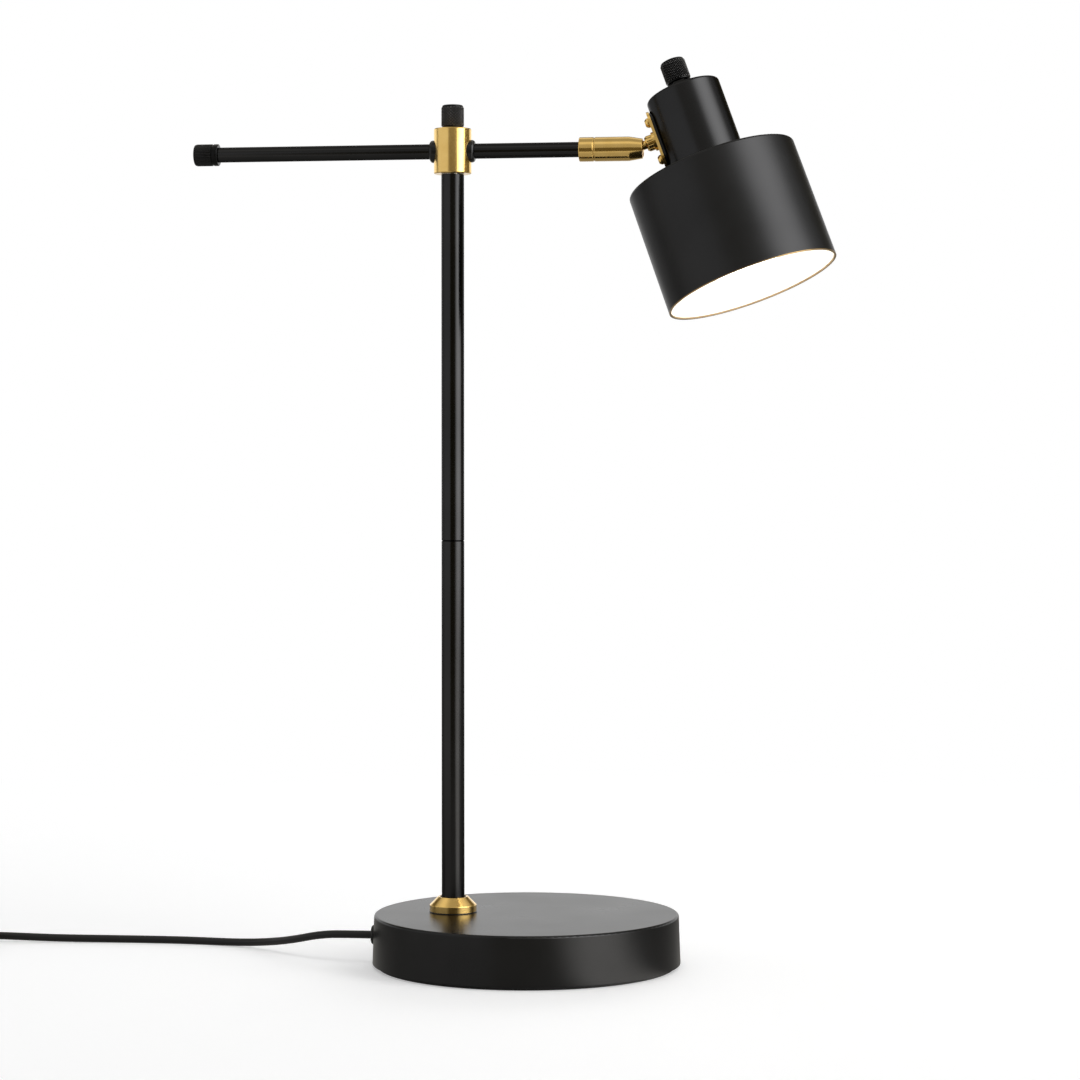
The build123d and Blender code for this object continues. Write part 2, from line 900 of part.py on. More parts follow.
parts = {
    "base_shell": base_shell(),
    "base_ballast": base_ballast(),
    "bottom_plate": bottom_plate(),
    "foot_pad": foot_pad(),
    "pole_collar": pole_collar(),
    "pole_nipple": pole_nipple(),
    "nipple_washer": nipple_washer(),
    "nipple_nut": nipple_nut(),
    "pole_lower": pole_lower(),
    "pole_coupler": pole_coupler(),
    "pole_upper": pole_upper(),
    "pole_spigot": pole_spigot(),
    "cross_block": cross_block(),
    "arm_bush_tail": arm_bush(-1),
    "arm_bush_head": arm_bush(1),
    "block_grub": block_grub(),
    "clamp_knob": clamp_knob(),
    "clamp_screw": clamp_screw(),
    "clamp_tip": clamp_tip(),
    "arm_tube": arm_tube(),
    "arm_end_cap": arm_end_cap(),
    "swivel_collar": swivel_collar(),
    "swivel_sleeve": swivel_sleeve(),
    "ball_seat": ball_seat(),
    "ball_stud": ball_stud(),
    "stud_nut": stud_nut(),
    "mount_plate": mount_plate(),
    "mount_saddle": mount_saddle(),
    "mount_screw_lower": mount_screw(-mount_screw_place),
    "mount_screw_upper": mount_screw(mount_screw_place),
    "mount_nut_lower": mount_nut(-mount_screw_place),
    "mount_nut_upper": mount_nut(mount_screw_place),
    "lamp_cup": lamp_cup(),
    "shade": shade(),
    "shade_ring": shade_ring(),
    "lampholder": lampholder(),
    "lampholder_contact": lampholder_contact(),
    "lamp_cap": lamp_cap(),
    "lamp_glass": lamp_glass(),
    "rotary_switch": rotary_switch(),
    "switch_washer": switch_washer(),
    "switch_nut": switch_nut(),
    "switch_knob": switch_knob(),
    "switch_shaft": switch_shaft(),
    "cord_grommet": cord_grommet(),
    "cord_free": swept_cord(free_path),
    "cord_coil": swept_cord(coil),
    "cord_tie": cord_tie(),
    "plug_body": plug_body(coil),
    "plug_blade_left": plug_blade(coil, -1),
    "plug_blade_right": plug_blade(coil, 1),
}
for number, place in enumerate(PolarLocations(boss_circle, boss_count), 1):
    parts[f"bottom_screw_{number}"] = place * bottom_screw()

os.makedirs("parts", exist_ok=True)
for name, part in parts.items():
    export_step(part, f"parts/{name}.step")

section_area = pi * cord_radius**2
print("cord radii", [round(radius, 1) for radius in corner_radii(cord_route)])
print("free cord length", round(free_path.length, 1), "coil length", round(coil.length, 1))
print("free cord volume ratio", round(parts["cord_free"].volume / (section_area * free_path.length), 4))
print("coil volume ratio", round(parts["cord_coil"].volume / (section_area * coil.length), 4))
print("coil least gap", round(least_gap(coil, cord_radius), 2))
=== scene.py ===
import json
from math import cos, pi, radians, sin, tan
from typing import NamedTuple

import bmesh
import bpy
from bpy.props import FloatProperty, FloatVectorProperty, IntProperty, PointerProperty
from mathutils import Matrix, Vector


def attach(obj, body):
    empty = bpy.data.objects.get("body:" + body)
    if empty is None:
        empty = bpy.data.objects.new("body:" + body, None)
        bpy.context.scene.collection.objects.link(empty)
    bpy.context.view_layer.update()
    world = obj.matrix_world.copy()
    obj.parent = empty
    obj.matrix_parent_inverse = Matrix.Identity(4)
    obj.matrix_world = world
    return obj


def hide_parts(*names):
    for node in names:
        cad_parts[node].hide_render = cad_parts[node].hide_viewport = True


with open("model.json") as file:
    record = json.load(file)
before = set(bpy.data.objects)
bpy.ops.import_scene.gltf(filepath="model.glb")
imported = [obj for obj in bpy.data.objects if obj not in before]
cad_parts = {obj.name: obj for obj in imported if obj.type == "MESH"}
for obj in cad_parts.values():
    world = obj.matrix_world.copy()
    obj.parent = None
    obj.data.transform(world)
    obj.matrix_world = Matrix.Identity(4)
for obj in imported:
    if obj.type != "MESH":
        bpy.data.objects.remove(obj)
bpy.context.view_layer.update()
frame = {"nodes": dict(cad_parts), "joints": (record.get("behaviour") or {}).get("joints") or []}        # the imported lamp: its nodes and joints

bl_info = {
    "name": "Adjustable desk lamp",
    "version": (1, 0, 0),
    "blender": (4, 5, 0),
    "location": "View3D > Sidebar > Desk lamp",
    "description": "Dresses the packed desk lamp and sets up its stage",
    "category": "Object",
}

JOINTS = {joint["name"]: joint for joint in frame["joints"]}
UP = Vector((0, 0, 1))
BACKWARDS = Vector((0, 1, 0))
ARM_AXIS = Vector(JOINTS["arm_slide"]["axis"])
SHADE_AXIS = Vector(JOINTS["switch_turn"]["axis"]).normalized()
TILT_AXIS = Vector(JOINTS["head_tilt"]["axis"]).normalized()
NECK_AXIS = SHADE_AXIS.cross(TILT_AXIS)
QUARTERS = 4
QUARTER_TURN = pi / 2
FULL_TURN = 2 * pi
WHITE = (1.0, 1.0, 1.0)
CREST = "crest"              # mesh attribute: how far a point of a knurl stands out

# The cord's route, in metres: out of the grommet, down to the table and away to the left

CORD_ROUTE = (
    (-0.0815, 0.0, 0.0151),
    (-0.0990, 0.0, 0.0151),
    (-0.1170, 0.0045, 0.0141),
    (-0.1370, 0.0160, 0.0086),
    (-0.1570, 0.0330, 0.0042),
    (-0.1760, 0.0425, 0.0022),
    (-0.2080, 0.0470, 0.0022),
    (-0.2450, 0.0460, 0.0022),
    (-0.2830, 0.0425, 0.0024),
    (-0.3180, 0.0402, 0.0035),
    (-0.3446, 0.0402, 0.0035),
)
COIL_CENTRE = Vector((-0.349, 0.003, 0.0035))
COIL_RADIUS = 0.0372
COIL_PITCH = 0.00485
COIL_LAYER = 0.0049
COIL_QUARTERS_IN = 16
COIL_QUARTERS_CLIMBING = 2
COIL_QUARTERS_OUT = 15
POINTS_PER_QUARTER = 4
LEAD_OUT = ((-0.3862, -0.0029, 0.0084), (-0.391347, -0.0118105, 0.0084))
CORD_ORDER = 3
CORD_STEPS = 6
CORD_ROUNDNESS = 5

# Fine forms, in metres unless a line says otherwise

SHARP_ANGLE = radians(28)
ARC_STEPS = 6
RING_COLUMNS = 96
EDGE_ROUND = 0.9             # of the height of the edge
KNOB_EDGE = 0.0012
KNOB_FOOT = 0.0007
KNOB_FOOT_ROUND = 0.0003
KNOB_BORE = 0.6              # of the knob's height
KNOB_DISH = 0.62             # of the knob's radius
KNOB_DISH_FLOOR = 0.55       # of the knob's radius
KNOB_DISH_DEPTH = 0.0002
KNOB_DISH_ROUND = 0.0004
CAP_EDGE = 0.0008
CAP_RIB_TAIL = 0.0004        # from the edge to the full ribs
CAP_RIB_HEAD = 0.0003        # from the full ribs to the groove
CAP_RIB_CREST = 0.5          # of a knob's wear and painted highlight
CAP_GROOVE_START = 0.0034    # from the cap's mouth
CAP_GROOVE_END = 0.0026      # from the cap's mouth
CAP_GROOVE_DEPTH = 0.0005
CAP_GROOVE_SLOPE = 0.0001
CAP_COLLAR_ROUND = 0.00015
CAP_MOUTH_ROUND = 0.0005
CAP_BORE_END = 0.3           # of the cap's length
SCREW_COLUMNS = 48
SCREW_TIP_ROUND = 0.0003
SCREW_SEAT_ROUND = 0.0002
SCREW_DOME = 0.55            # of the head's height
SCREW_DOME_ROUND = 0.0008
SCREW_CROWN = 1.25           # of the socket's corners
SCREW_CROWN_ROUND = 0.0006
SCREW_MOUTH = 1.1            # of the socket's corners
SOCKET_SIDES = 6
SOCKET_RADIUS = 0.45         # of the head's radius
SOCKET_DEPTH = 0.62          # of the head's height
SOCKET_POINT = 0.72          # of the head's height
WASHER_STEP = 0.0003         # from the sleeve's radius down to the washer's
WASHER_WIDTH = 0.0008
WASHER_THICKNESS = 0.0005
WASHER_GAP = 0.00005         # between the washer and the sleeve
# A black ring of painted contact shadow under the pole's collar
SHADOW_RING_HEIGHT = 0.0006
SHADOW_RING_LIP = 0.0002          # out from the collar
SHADOW_RING_WIDTH = 0.0006        # in under the collar
SHADE_EDGE = 0.0001
PAINTED_FACING = 0.3         # least part of a face's normal that looks at the lamp


class Screw(NamedTuple):
    """Height of a screw's head and radius of its shank"""

    head: float
    shank: float


BOTTOM_SCREW = Screw(head=0.0011, shank=0.0015)
MOUNT_SCREW = Screw(head=0.0024, shank=0.0014)

# The stage, in metres


class Bow(NamedTuple):
    """Cloth on a bow round the lamp: the reach and height of its two edges,
    and where it starts and ends in degrees from the front"""

    near: tuple
    far: tuple
    start: float
    end: float


class Softbox(NamedTuple):
    """Where a softbox stands, what it faces and its size,
    and whether it lights the scene or the metal mirrors it"""

    place: tuple
    target: tuple
    width: float
    height: float
    lights: bool
    mirrored: bool


DARK_CLOTHS = (
    Bow(near=(0.9, 0.001), far=(1.5, 0.001), start=-18, end=27),      # on the floor in front
    Bow(near=(1.5, 0.001), far=(1.5, 0.66), start=-18, end=27),       # upright in front
    Bow(near=(2.6, 0.0), far=(2.6, 1.05), start=20, end=133),         # behind the side softbox
    Bow(near=(2.6, 0.0), far=(2.6, 1.05), start=-98, end=-92),        # a narrow one at the left
    Bow(near=(3.2, 1.1), far=(3.2, 2.6), start=128, end=260),         # high up at the back
)
GREY_CLOTH = Bow(near=(1.5, 0.66), far=(1.5, 1.25), start=-18, end=27)      # above the one in front
PALE_CLOTH = Bow(near=(3.0, 0.15), far=(3.0, 1.1), start=110, end=250)      # low at the back
CLOTH_STEPS = 24
DISC_COLUMNS = 48
CEILING_HEIGHT = 2.6
CEILING_RADIUS = 4.0
CEILING_MIDDLE = 0.5
CEILING_RING = 1.3
CEILING_EDGE = 3.0
FLOOR_SIZE = 40.0
FLOOR_CARD_RADIUS = 3.2
FLOOR_CARD_RISE = 0.0004
FLOOR_CARD_FRONT = -0.2
FLOOR_CARD_BACK = 0.3
GLINT_HEADING = Vector((0.809, -0.588, 0))
GLINT_EDGE = 0.88            # cosine of the angle to that heading
SIDE_PLACE = (1.587, -0.609, 1.3)
SIDE_TARGET = (0, 0, 1.3)
SIDE_SOFTBOX = Softbox(SIDE_PLACE, SIDE_TARGET, width=2.5, height=2.4, lights=False, mirrored=True)
SIDE_FILL = Softbox(SIDE_PLACE, SIDE_TARGET, width=1.2, height=2.4, lights=True, mirrored=False)
TOP_SOFTBOX = Softbox((-0.2, 0.1, 2.2), (0, 0, 0.3), width=1.6, height=1.2, lights=True, mirrored=False)
BACK_SOFTBOX = Softbox((0.3, 2.6, 0.9), (0, 0, 0.2), width=3.0, height=1.4, lights=True, mirrored=False)
SOFTBOX_PEAK = 4             # makes x (1 - x) reach 1 halfway across
CAMERA_REACH = 100.0

# Settings that a user would change: each kind takes a name, a description and a default


def tint(name, description, default):
    """Colour"""
    return FloatVectorProperty(
        name=name, description=description, default=default, subtype="COLOR", size=3, min=0, max=1,
    )


def size(name, description, default):
    """Length"""
    return FloatProperty(name=name, description=description, default=default, unit="LENGTH", min=0)


def watts(name, description, default):
    """Power of a light"""
    return FloatProperty(
        name=name, description=description, default=default, subtype="POWER", unit="POWER", min=0,
    )


def level(name, description, default):
    """Brightness"""
    return FloatProperty(name=name, description=description, default=default, min=0)


def number(name, description, default):
    """How many there are of a form that repeats"""
    return IntProperty(name=name, description=description, default=default, min=8)


class LampColours(bpy.types.PropertyGroup):
    """Colours of the lamp's finishes"""

    coat: tint("Black coat", "What the satin black coat on the metal parts mirrors", (0.024, 0.024, 0.0245))
    knob: tint("Black knobs", "Black finish of the knurled knobs", (0.0015, 0.0015, 0.0016))
    # The crest colour is partly rubbed metal and partly a painted highlight
    crest: tint("Knurl crests", "Rubbed crests of the knurl", (0.58, 0.57, 0.56))
    brass: tint("Brass", "Turned and lacquered brass", (0.72, 0.50, 0.180))
    brass_shade: tint("Brass, deeper tone", "Deeper tone that clouds the brass", (0.60, 0.390, 0.112))
    steel: tint("Zinc", "Zinc plate on the screws, nuts and bottom plate", (0.56, 0.56, 0.55))
    iron: tint("Iron", "Cast iron of the ballast", (0.06, 0.058, 0.056))
    plastic: tint("Black plastic", "Moulded bushes, grommet, saddle and switch", (0.002, 0.002, 0.002))
    holder: tint("White plastic", "Lampholder and its ring", (0.72, 0.71, 0.67))
    rubber: tint("Rubber", "Foot pad under the base", (0.022, 0.022, 0.022))
    cap: tint("Lamp cap", "Rolled screw cap of the lamp", (0.66, 0.66, 0.65))
    inside: tint("White paint", "Paint inside the shade", (0.86, 0.84, 0.80))
    # The edge colour is partly the bare metal edge and partly a painted glow of the lamp on the edge
    edge_bare_and_glow: tint("Rim", "Bare edge of the shade", (0.24, 0.16, 0.07))
    opal: tint("Opal", "Opal glass of the lamp", (0.9, 0.89, 0.86))
    glow: tint("Glow", "Light of the opal lamp", (1.0, 0.93, 0.82))
    jacket: tint("Cord", "Jacket of the supply cord, and its plug", (0.0045, 0.0045, 0.0045))
    blade: tint("Blades", "Contact blades of the plug", (0.70, 0.58, 0.32))


class LampSizes(bpy.types.PropertyGroup):
    """Sizes of the fine forms that are made here"""

    knurl_depth: size("Knurl depth", "Depth of the knurl on the two knobs", 0.00050)
    clamp_diamonds: number("Clamp knob diamonds", "Diamonds round the clamp knob", 22)
    clamp_rows: number("Clamp knob rows", "Half rows of diamonds on the clamp knob", 12)
    switch_diamonds: number("Switch knob diamonds", "Diamonds round the switch knob", 28)
    switch_rows: number("Switch knob rows", "Half rows of diamonds on the switch knob", 18)
    cap_ribs: number("End cap ribs", "Straight ribs round the cap at the arm's tail", 44)
    cap_rib_depth: size("End cap rib depth", "Depth between the ribs of the end cap", 0.00022)
    cord_radius: size("Cord radius", "Half the thickness of the supply cord", 0.0022)
    # The bands above the edge carry the bare metal and a painted glow of the lamp
    edge_glow_outside: size("Bare edge outside", "How far the shade's bare edge reaches up outside", 0.0004)
    edge_glow_inside: size("Bare edge inside", "How far the shade's bare edge reaches up inside", 0.0009)


class LampStage(bpy.types.PropertyGroup):
    """Camera, lights and cards"""

    camera_place: FloatVectorProperty(
        name="Camera", description="Place of the camera",
        subtype="TRANSLATION", unit="LENGTH", size=3, default=(0.2429, -1.6454, 0.2728),
    )
    camera_heading: FloatProperty(
        name="Heading", description="Turn of the camera to the left of straight back",
        subtype="ANGLE", default=radians(8.14),
    )
    camera_pitch: FloatProperty(
        name="Pitch", description="How far the camera looks down",
        subtype="ANGLE", default=radians(1.25),
    )
    camera_lens: FloatProperty(
        name="Lens", description="Focal length", subtype="DISTANCE_CAMERA", default=100.0,
    )
    world_strength: level("World", "Plain light from all round", 0.35)
    strip_power: watts("Side softbox", "Tall softbox at the right, as the metal mirrors it", 112.0)
    fill_power: watts("Side light", "What the tall softbox at the right lights", 45.0)
    top_power: watts("Top softbox", "Wide softbox overhead", 10.0)
    back_power: watts("Back softbox", "Wide softbox low behind the lamp", 55.0)
    cloth: tint("Dark cloth", "Warm dark of the cloths that the metal mirrors", (0.16, 0.13, 0.065))
    grey_cloth: tint("Grey cloth", "Grey of the cloth above the dark one in front", (0.60, 0.58, 0.53))
    pale_cloth: level("Pale cloth", "Brightness of the cloth low at the back, as the metal mirrors it", 1.5)
    ceiling_light: level("Ceiling", "Brightness of the ring on the ceiling, as the metal mirrors it", 1.15)
    ceiling_dark: level("Ceiling, dark", "Brightness in its middle, and share left at its edge", 0.55)
    floor_card_near: level("Floor in the gloss", "Brightness round the foot, as it is mirrored", 0.55)
    floor_card_dark: level("Floor behind, in the gloss", "Share that is left of it behind the lamp", 0.6)
    floor_glint: level("Softbox in the floor", "What the side softbox adds to the floor in the gloss", 2.4)
    warm_white: tint("Warm white", "White of the ceiling and of the floor in the gloss", (1.0, 0.97, 0.91))
    floor_grey: FloatProperty(
        name="Floor", description="Brightness of the floor's own colour", min=0, max=1, default=0.80,
    )
    floor_lift: level("Floor lift", "Extra white that the camera and the gloss see on the floor", 0.365)
    floor_near: size("Floor near", "How far round the lamp the floor is matt", 0.35)
    floor_far: size("Floor far", "Where the floor has turned into the white backdrop", 1.1)
    glow_strength: level("Lamp", "Brightness of the opal lamp", 5.0)


# Shader maths: a socket in an expression, and a finish that holds the nodes


class Term:
    """A socket in an expression: each operator adds its Math node"""

    def __init__(self, finish, socket):
        self.finish = finish
        self.socket = socket

    def math(self, operation, first, second):
        return self.finish.node("ShaderNodeMath", {"operation": operation}, {0: first, 1: second})

    def __add__(self, other):
        return self.math("ADD", self, other)

    def __sub__(self, other):
        return self.math("SUBTRACT", self, other)

    def __rsub__(self, other):
        return self.math("SUBTRACT", other, self)

    def __mul__(self, other):
        return self.math("MULTIPLY", self, other)

    def __lt__(self, other):
        return self.math("LESS_THAN", self, other)

    def __gt__(self, other):
        return self.math("GREATER_THAN", self, other)

    __radd__ = __add__
    __rmul__ = __mul__


class Grain(NamedTuple):
    """Texture of a finish: its noise, how much it dulls the gloss, its bumps,
    and the two tones, as factors of the colour, that it runs between"""

    scale: float
    detail: float = 2.0
    harshness: float = 0.5
    dulls: float = 0.0
    strength: float = 0.0
    depth: float = 0.0
    tones: tuple = (1.0, 1.0)


def rgba(colour):
    return (*colour, 1.0)


class Finish:
    """A node tree with the few helpers that the finishes need"""

    def __init__(self, owner):
        owner.use_nodes = True
        self.owner = owner
        self.tree = owner.node_tree
        self.tree.nodes.clear()

    def node(self, kind, settings=None, inputs=None, output=0):
        """Adds a node, sets it up and then fills or links its sockets. Gives one of its outputs"""
        node = self.tree.nodes.new(kind)
        for name, value in (settings or {}).items():
            setattr(node, name, value)
        for name, value in (inputs or {}).items():
            if isinstance(value, Term):
                self.tree.links.new(value.socket, node.inputs[name])
            else:
                node.inputs[name].default_value = value
        return Term(self, node.outputs[output]) if node.outputs else None

    def place(self):
        return self.node("ShaderNodeTexCoord", output="Object")

    def vector(self, operation, inputs, output=0):
        return self.node("ShaderNodeVectorMath", {"operation": operation}, inputs, output)

    def along(self, axis):
        return self.vector("DOT_PRODUCT", {0: self.place(), 1: axis}, "Value")

    def texture(self, grain, settings, place):
        return self.node("ShaderNodeTexNoise", settings, {
            **place, "Scale": grain.scale, "Detail": grain.detail, "Roughness": grain.harshness,
        })

    def noise(self, grain):
        return self.texture(grain, None, {"Vector": self.place()})

    def lines(self, grain, axis):
        """Fine lines across an axis, as a turning tool leaves them"""
        return self.texture(grain, {"noise_dimensions": "1D"}, {"W": self.along(axis)})

    def mix(self, share, first, second):
        return self.node("ShaderNodeMix", {"data_type": "RGBA"}, {0: share, 6: first, 7: second}, 2)

    def tones(self, share, colour, grain):
        """Runs between the two tones that a grain gives a colour"""
        first, second = (tuple(min(1.0, tone * part) for part in colour) for tone in grain.tones)
        return self.mix(share, rgba(first), rgba(second))

    def bump(self, height, grain):
        return self.node("ShaderNodeBump", None, {
            "Strength": grain.strength, "Distance": grain.depth, "Height": height,
        })

    def surface(self, inputs):
        shader = self.node("ShaderNodeBsdfPrincipled", None, inputs)
        self.node("ShaderNodeOutputMaterial", None, {"Surface": shader})
        return self.owner


def finish(name):
    return Finish(bpy.data.materials.new(name))


# Finishes

COAT_GRAIN = Grain(scale=2600.0, dulls=0.04, strength=0.04, depth=0.00002)
COAT_CLOUD = Grain(scale=28.0, detail=3.0, dulls=0.05, tones=(0.8, 1.25))
KNOB_GRAIN = Grain(scale=3200.0, detail=3.0, dulls=0.12, strength=0.06, depth=0.00002)
KNOB_WEAR_AND_SHEEN = Grain(scale=420.0)
KNOB_LEAST_WEAR_AND_SHEEN = 0.5
KNOB_BARE_METAL = 0.7
LATHE_LINES = Grain(scale=5200.0, detail=3.0, harshness=0.6, dulls=0.06, strength=0.03, depth=0.00001)
BRASS_CLOUD = Grain(scale=160.0, detail=3.0, dulls=0.04)
ZINC_SPANGLE = Grain(scale=900.0, dulls=0.18, strength=0.10, depth=0.00002, tones=(1.0, 0.72))
IRON_SAND = Grain(scale=750.0, detail=4.0, dulls=0.25, strength=0.5, depth=0.00025, tones=(1.0, 1.8))
MOULD_GRAIN = Grain(scale=1900.0, detail=3.0, dulls=0.14, strength=0.18, depth=0.00003)
MOULD_CLOUD = Grain(scale=60.0, tones=(1.0, 1.25))
OPAL_CLOUD = Grain(scale=40.0, detail=1.0, dulls=0.06, tones=(1.0, 0.94))
PAINT_PEEL = Grain(scale=700.0, dulls=0.1, strength=0.08, depth=0.00004, tones=(1.0, 0.96))
RIM_MOTTLE = Grain(scale=1500.0, dulls=0.2, tones=(1.0, 0.7))


def edge_glow_band(made, width):
    """1 on the lowest stretch of the shade, next to its edge, where the painted glow of the lamp goes"""
    edge = SHADE_AXIS.dot(measure("shade", SHADE_AXIS).place.translation)
    return made.along(SHADE_AXIS) < edge + width


def black_coat(name, colour, rough, edge, edge_bare_and_glow=None, edge_glow_width=0.0):
    """Deep black coat that only mirrors, with its mirror held back at the edges, a faint fine texture
    and slow changes of gloss. On the shade its lowest stretch shows bare metal tinted warm with a painted
    glow of the lamp"""
    made = finish(name)
    grain = made.noise(COAT_GRAIN)
    cloud = made.noise(COAT_CLOUD)
    tone = made.tones(cloud, colour, COAT_CLOUD)
    if edge_bare_and_glow:
        tone = made.mix(edge_glow_band(made, edge_glow_width), tone, rgba(edge_bare_and_glow))
    return made.surface({
        "Base Color": tone,
        "Metallic": 1.0,
        "Specular Tint": rgba((edge, edge, edge)),
        "Roughness": rough + COAT_CLOUD.dulls * cloud + COAT_GRAIN.dulls * grain,
        "Normal": made.bump(grain, COAT_GRAIN),
    })


def knob_black(name, colour, crest, rough):
    """Blackened knurl whose crests are paler, partly rubbed bare metal and partly a painted highlight on
    the crests
    """
    made = finish(name)
    grain = made.noise(KNOB_GRAIN)
    patchy_wear_and_sheen = made.noise(KNOB_WEAR_AND_SHEEN)
    height = made.node("ShaderNodeAttribute", {"attribute_name": CREST}, output="Fac")
    crest_wear_and_sheen = height * height
    return made.surface({
        # Paler crests: rubbed metal and painted highlight dots
        "Base Color": made.mix(crest_wear_and_sheen * crest_wear_and_sheen * (KNOB_LEAST_WEAR_AND_SHEEN + patchy_wear_and_sheen), rgba(colour), rgba(crest)),
        "Metallic": KNOB_BARE_METAL * crest_wear_and_sheen,
        "Roughness": rough + KNOB_GRAIN.dulls * grain,
        "Specular IOR Level": 0.11,
        "Normal": made.bump(grain, KNOB_GRAIN),
    })


def brass(name, axis, colours, rough):
    """Turned brass: fine lines across the axis of the lathe, and slow clouds of a deeper tone"""
    made = finish(name)
    lines = made.lines(LATHE_LINES, axis)
    cloud = made.noise(BRASS_CLOUD)
    return made.surface({
        "Base Color": made.mix(cloud, rgba(colours.brass), rgba(colours.brass_shade)),
        "Metallic": 1.0,
        "Roughness": rough + LATHE_LINES.dulls * lines + BRASS_CLOUD.dulls * cloud,
        "Normal": made.bump(lines, LATHE_LINES),
    })


def zinc(name, colour, rough):
    """Plated or rolled metal with a faint spangle"""
    made = finish(name)
    spangle = made.noise(ZINC_SPANGLE)
    return made.surface({
        "Base Color": made.tones(spangle, colour, ZINC_SPANGLE),
        "Metallic": 1.0,
        "Roughness": rough + ZINC_SPANGLE.dulls * spangle,
        "Normal": made.bump(spangle, ZINC_SPANGLE),
    })


def cast_iron(name, colour, rough):
    """Iron as the sand of its mould leaves it"""
    made = finish(name)
    sand = made.noise(IRON_SAND)
    return made.surface({
        "Base Color": made.tones(sand, colour, IRON_SAND),
        "Metallic": 0.6,
        "Roughness": rough + IRON_SAND.dulls * sand,
        "Normal": made.bump(sand, IRON_SAND),
    })


def moulded(name, colour, rough):
    """Moulded plastic or rubber with a fine eroded texture"""
    made = finish(name)
    grain = made.noise(MOULD_GRAIN)
    cloud = made.noise(MOULD_CLOUD)
    return made.surface({
        "Base Color": made.tones(cloud, colour, MOULD_CLOUD),
        "Roughness": rough + MOULD_GRAIN.dulls * grain,
        "Specular IOR Level": 0.28,
        "Normal": made.bump(grain, MOULD_GRAIN),
    })


def opal(name, glass, glow, strength, rough):
    """Lit opal glass with slow clouds in its light"""
    made = finish(name)
    cloud = made.noise(OPAL_CLOUD)
    return made.surface({
        "Base Color": rgba(glass),
        "Roughness": rough + OPAL_CLOUD.dulls * cloud,
        "Emission Color": made.tones(cloud, glow, OPAL_CLOUD),
        "Emission Strength": strength,
    })


def white_paint(name, colour, edge_bare_and_glow, edge_glow_width, rough):
    """Paint inside the shade; next to the edge it gives way to a warm band of bare metal and painted glow
    of the lamp
    """
    made = finish(name)
    peel = made.noise(PAINT_PEEL)
    tone = made.tones(peel, colour, PAINT_PEEL)
    return made.surface({
        "Base Color": made.mix(edge_glow_band(made, edge_glow_width), tone, rgba(edge_bare_and_glow)),
        "Roughness": rough + PAINT_PEEL.dulls * peel,
        "Normal": made.bump(peel, PAINT_PEEL),
    })


def bare_and_glowing_rim(name, colour, rough):
    """Edge face of the shade: bare metal with a painted warm glow of the lamp on it"""
    made = finish(name)
    mottle = made.noise(RIM_MOTTLE)
    return made.surface({
        "Base Color": made.tones(mottle, colour, RIM_MOTTLE),
        "Roughness": rough + RIM_MOTTLE.dulls * mottle,
        "Metallic": 0.5,
    })


FINISHES = {}


def finishes(context):
    """Every finish of the lamp, made once"""
    if FINISHES:
        return
    colours = context.scene.lamp_colours
    sizes = context.scene.lamp_sizes
    stage = context.scene.lamp_stage
    made = (
        black_coat("tube_coat", colours.coat, rough=0.15, edge=0.5),
        black_coat("satin_coat", colours.coat, rough=0.20, edge=0.5),
        black_coat("base_coat", colours.coat, rough=0.24, edge=0.7),
        black_coat(
            "shade_coat", colours.coat, rough=0.31, edge=0.6, edge_bare_and_glow=colours.edge_bare_and_glow, edge_glow_width=sizes.edge_glow_outside,
        ),
        white_paint("white_paint", colours.inside, colours.edge_bare_and_glow, sizes.edge_glow_inside, rough=0.42),
        # The edge face: bare metal with a painted glow of the lamp
        bare_and_glowing_rim("bare_and_glowing_rim", colours.edge_bare_and_glow, rough=0.38),
        knob_black("knurled_black", colours.knob, colours.crest, rough=0.20),
        brass("brass_upright", UP, colours, rough=0.16),
        brass("brass_arm", ARM_AXIS, colours, rough=0.09),
        brass("brass_neck", NECK_AXIS, colours, rough=0.12),
        brass("brass_plate", SHADE_AXIS, colours, rough=0.14),
        zinc("zinc_plate", colours.steel, rough=0.24),
        zinc("rolled_cap", colours.cap, rough=0.24),
        zinc("bare_blade", colours.blade, rough=0.24),
        cast_iron("rough_iron", colours.iron, rough=0.55),
        moulded("moulded_black", colours.plastic, rough=0.20),
        moulded("moulded_white", colours.holder, rough=0.40),
        moulded("foot_rubber", colours.rubber, rough=0.70),
        moulded("cord_black", colours.jacket, rough=0.36),
        moulded("plug_black", colours.jacket, rough=0.42),
        opal("lit_opal", colours.opal, colours.glow, stage.glow_strength, rough=0.22),
    )
    FINISHES.update({material.name: material for material in made})


def dress(nodes, material):
    """Gives CAD nodes a finish"""
    for node in nodes:
        data = frame["nodes"][node].data
        data.materials.clear()
        data.materials.append(FINISHES[material])


# Turned shapes


class Turned(NamedTuple):
    """A turned node: the place at the low end of its axis, its largest radius and its length"""

    place: Matrix
    radius: float
    length: float


def measure(node, axis):
    """Measures a turned node along its own axis"""
    turn = axis.to_track_quat("Z", "Y").to_matrix()
    points = [turn.inverted() @ vertex.co for vertex in frame["nodes"][node].data.vertices]
    low = Vector(min(point[side] for point in points) for side in range(3))
    high = Vector(max(point[side] for point in points) for side in range(3))
    middle = (low + high) / 2
    place = Matrix.Translation(turn @ Vector((middle.x, middle.y, low.z))) @ turn.to_4x4()
    return Turned(place, (high.x - low.x) / 2, high.z - low.z)


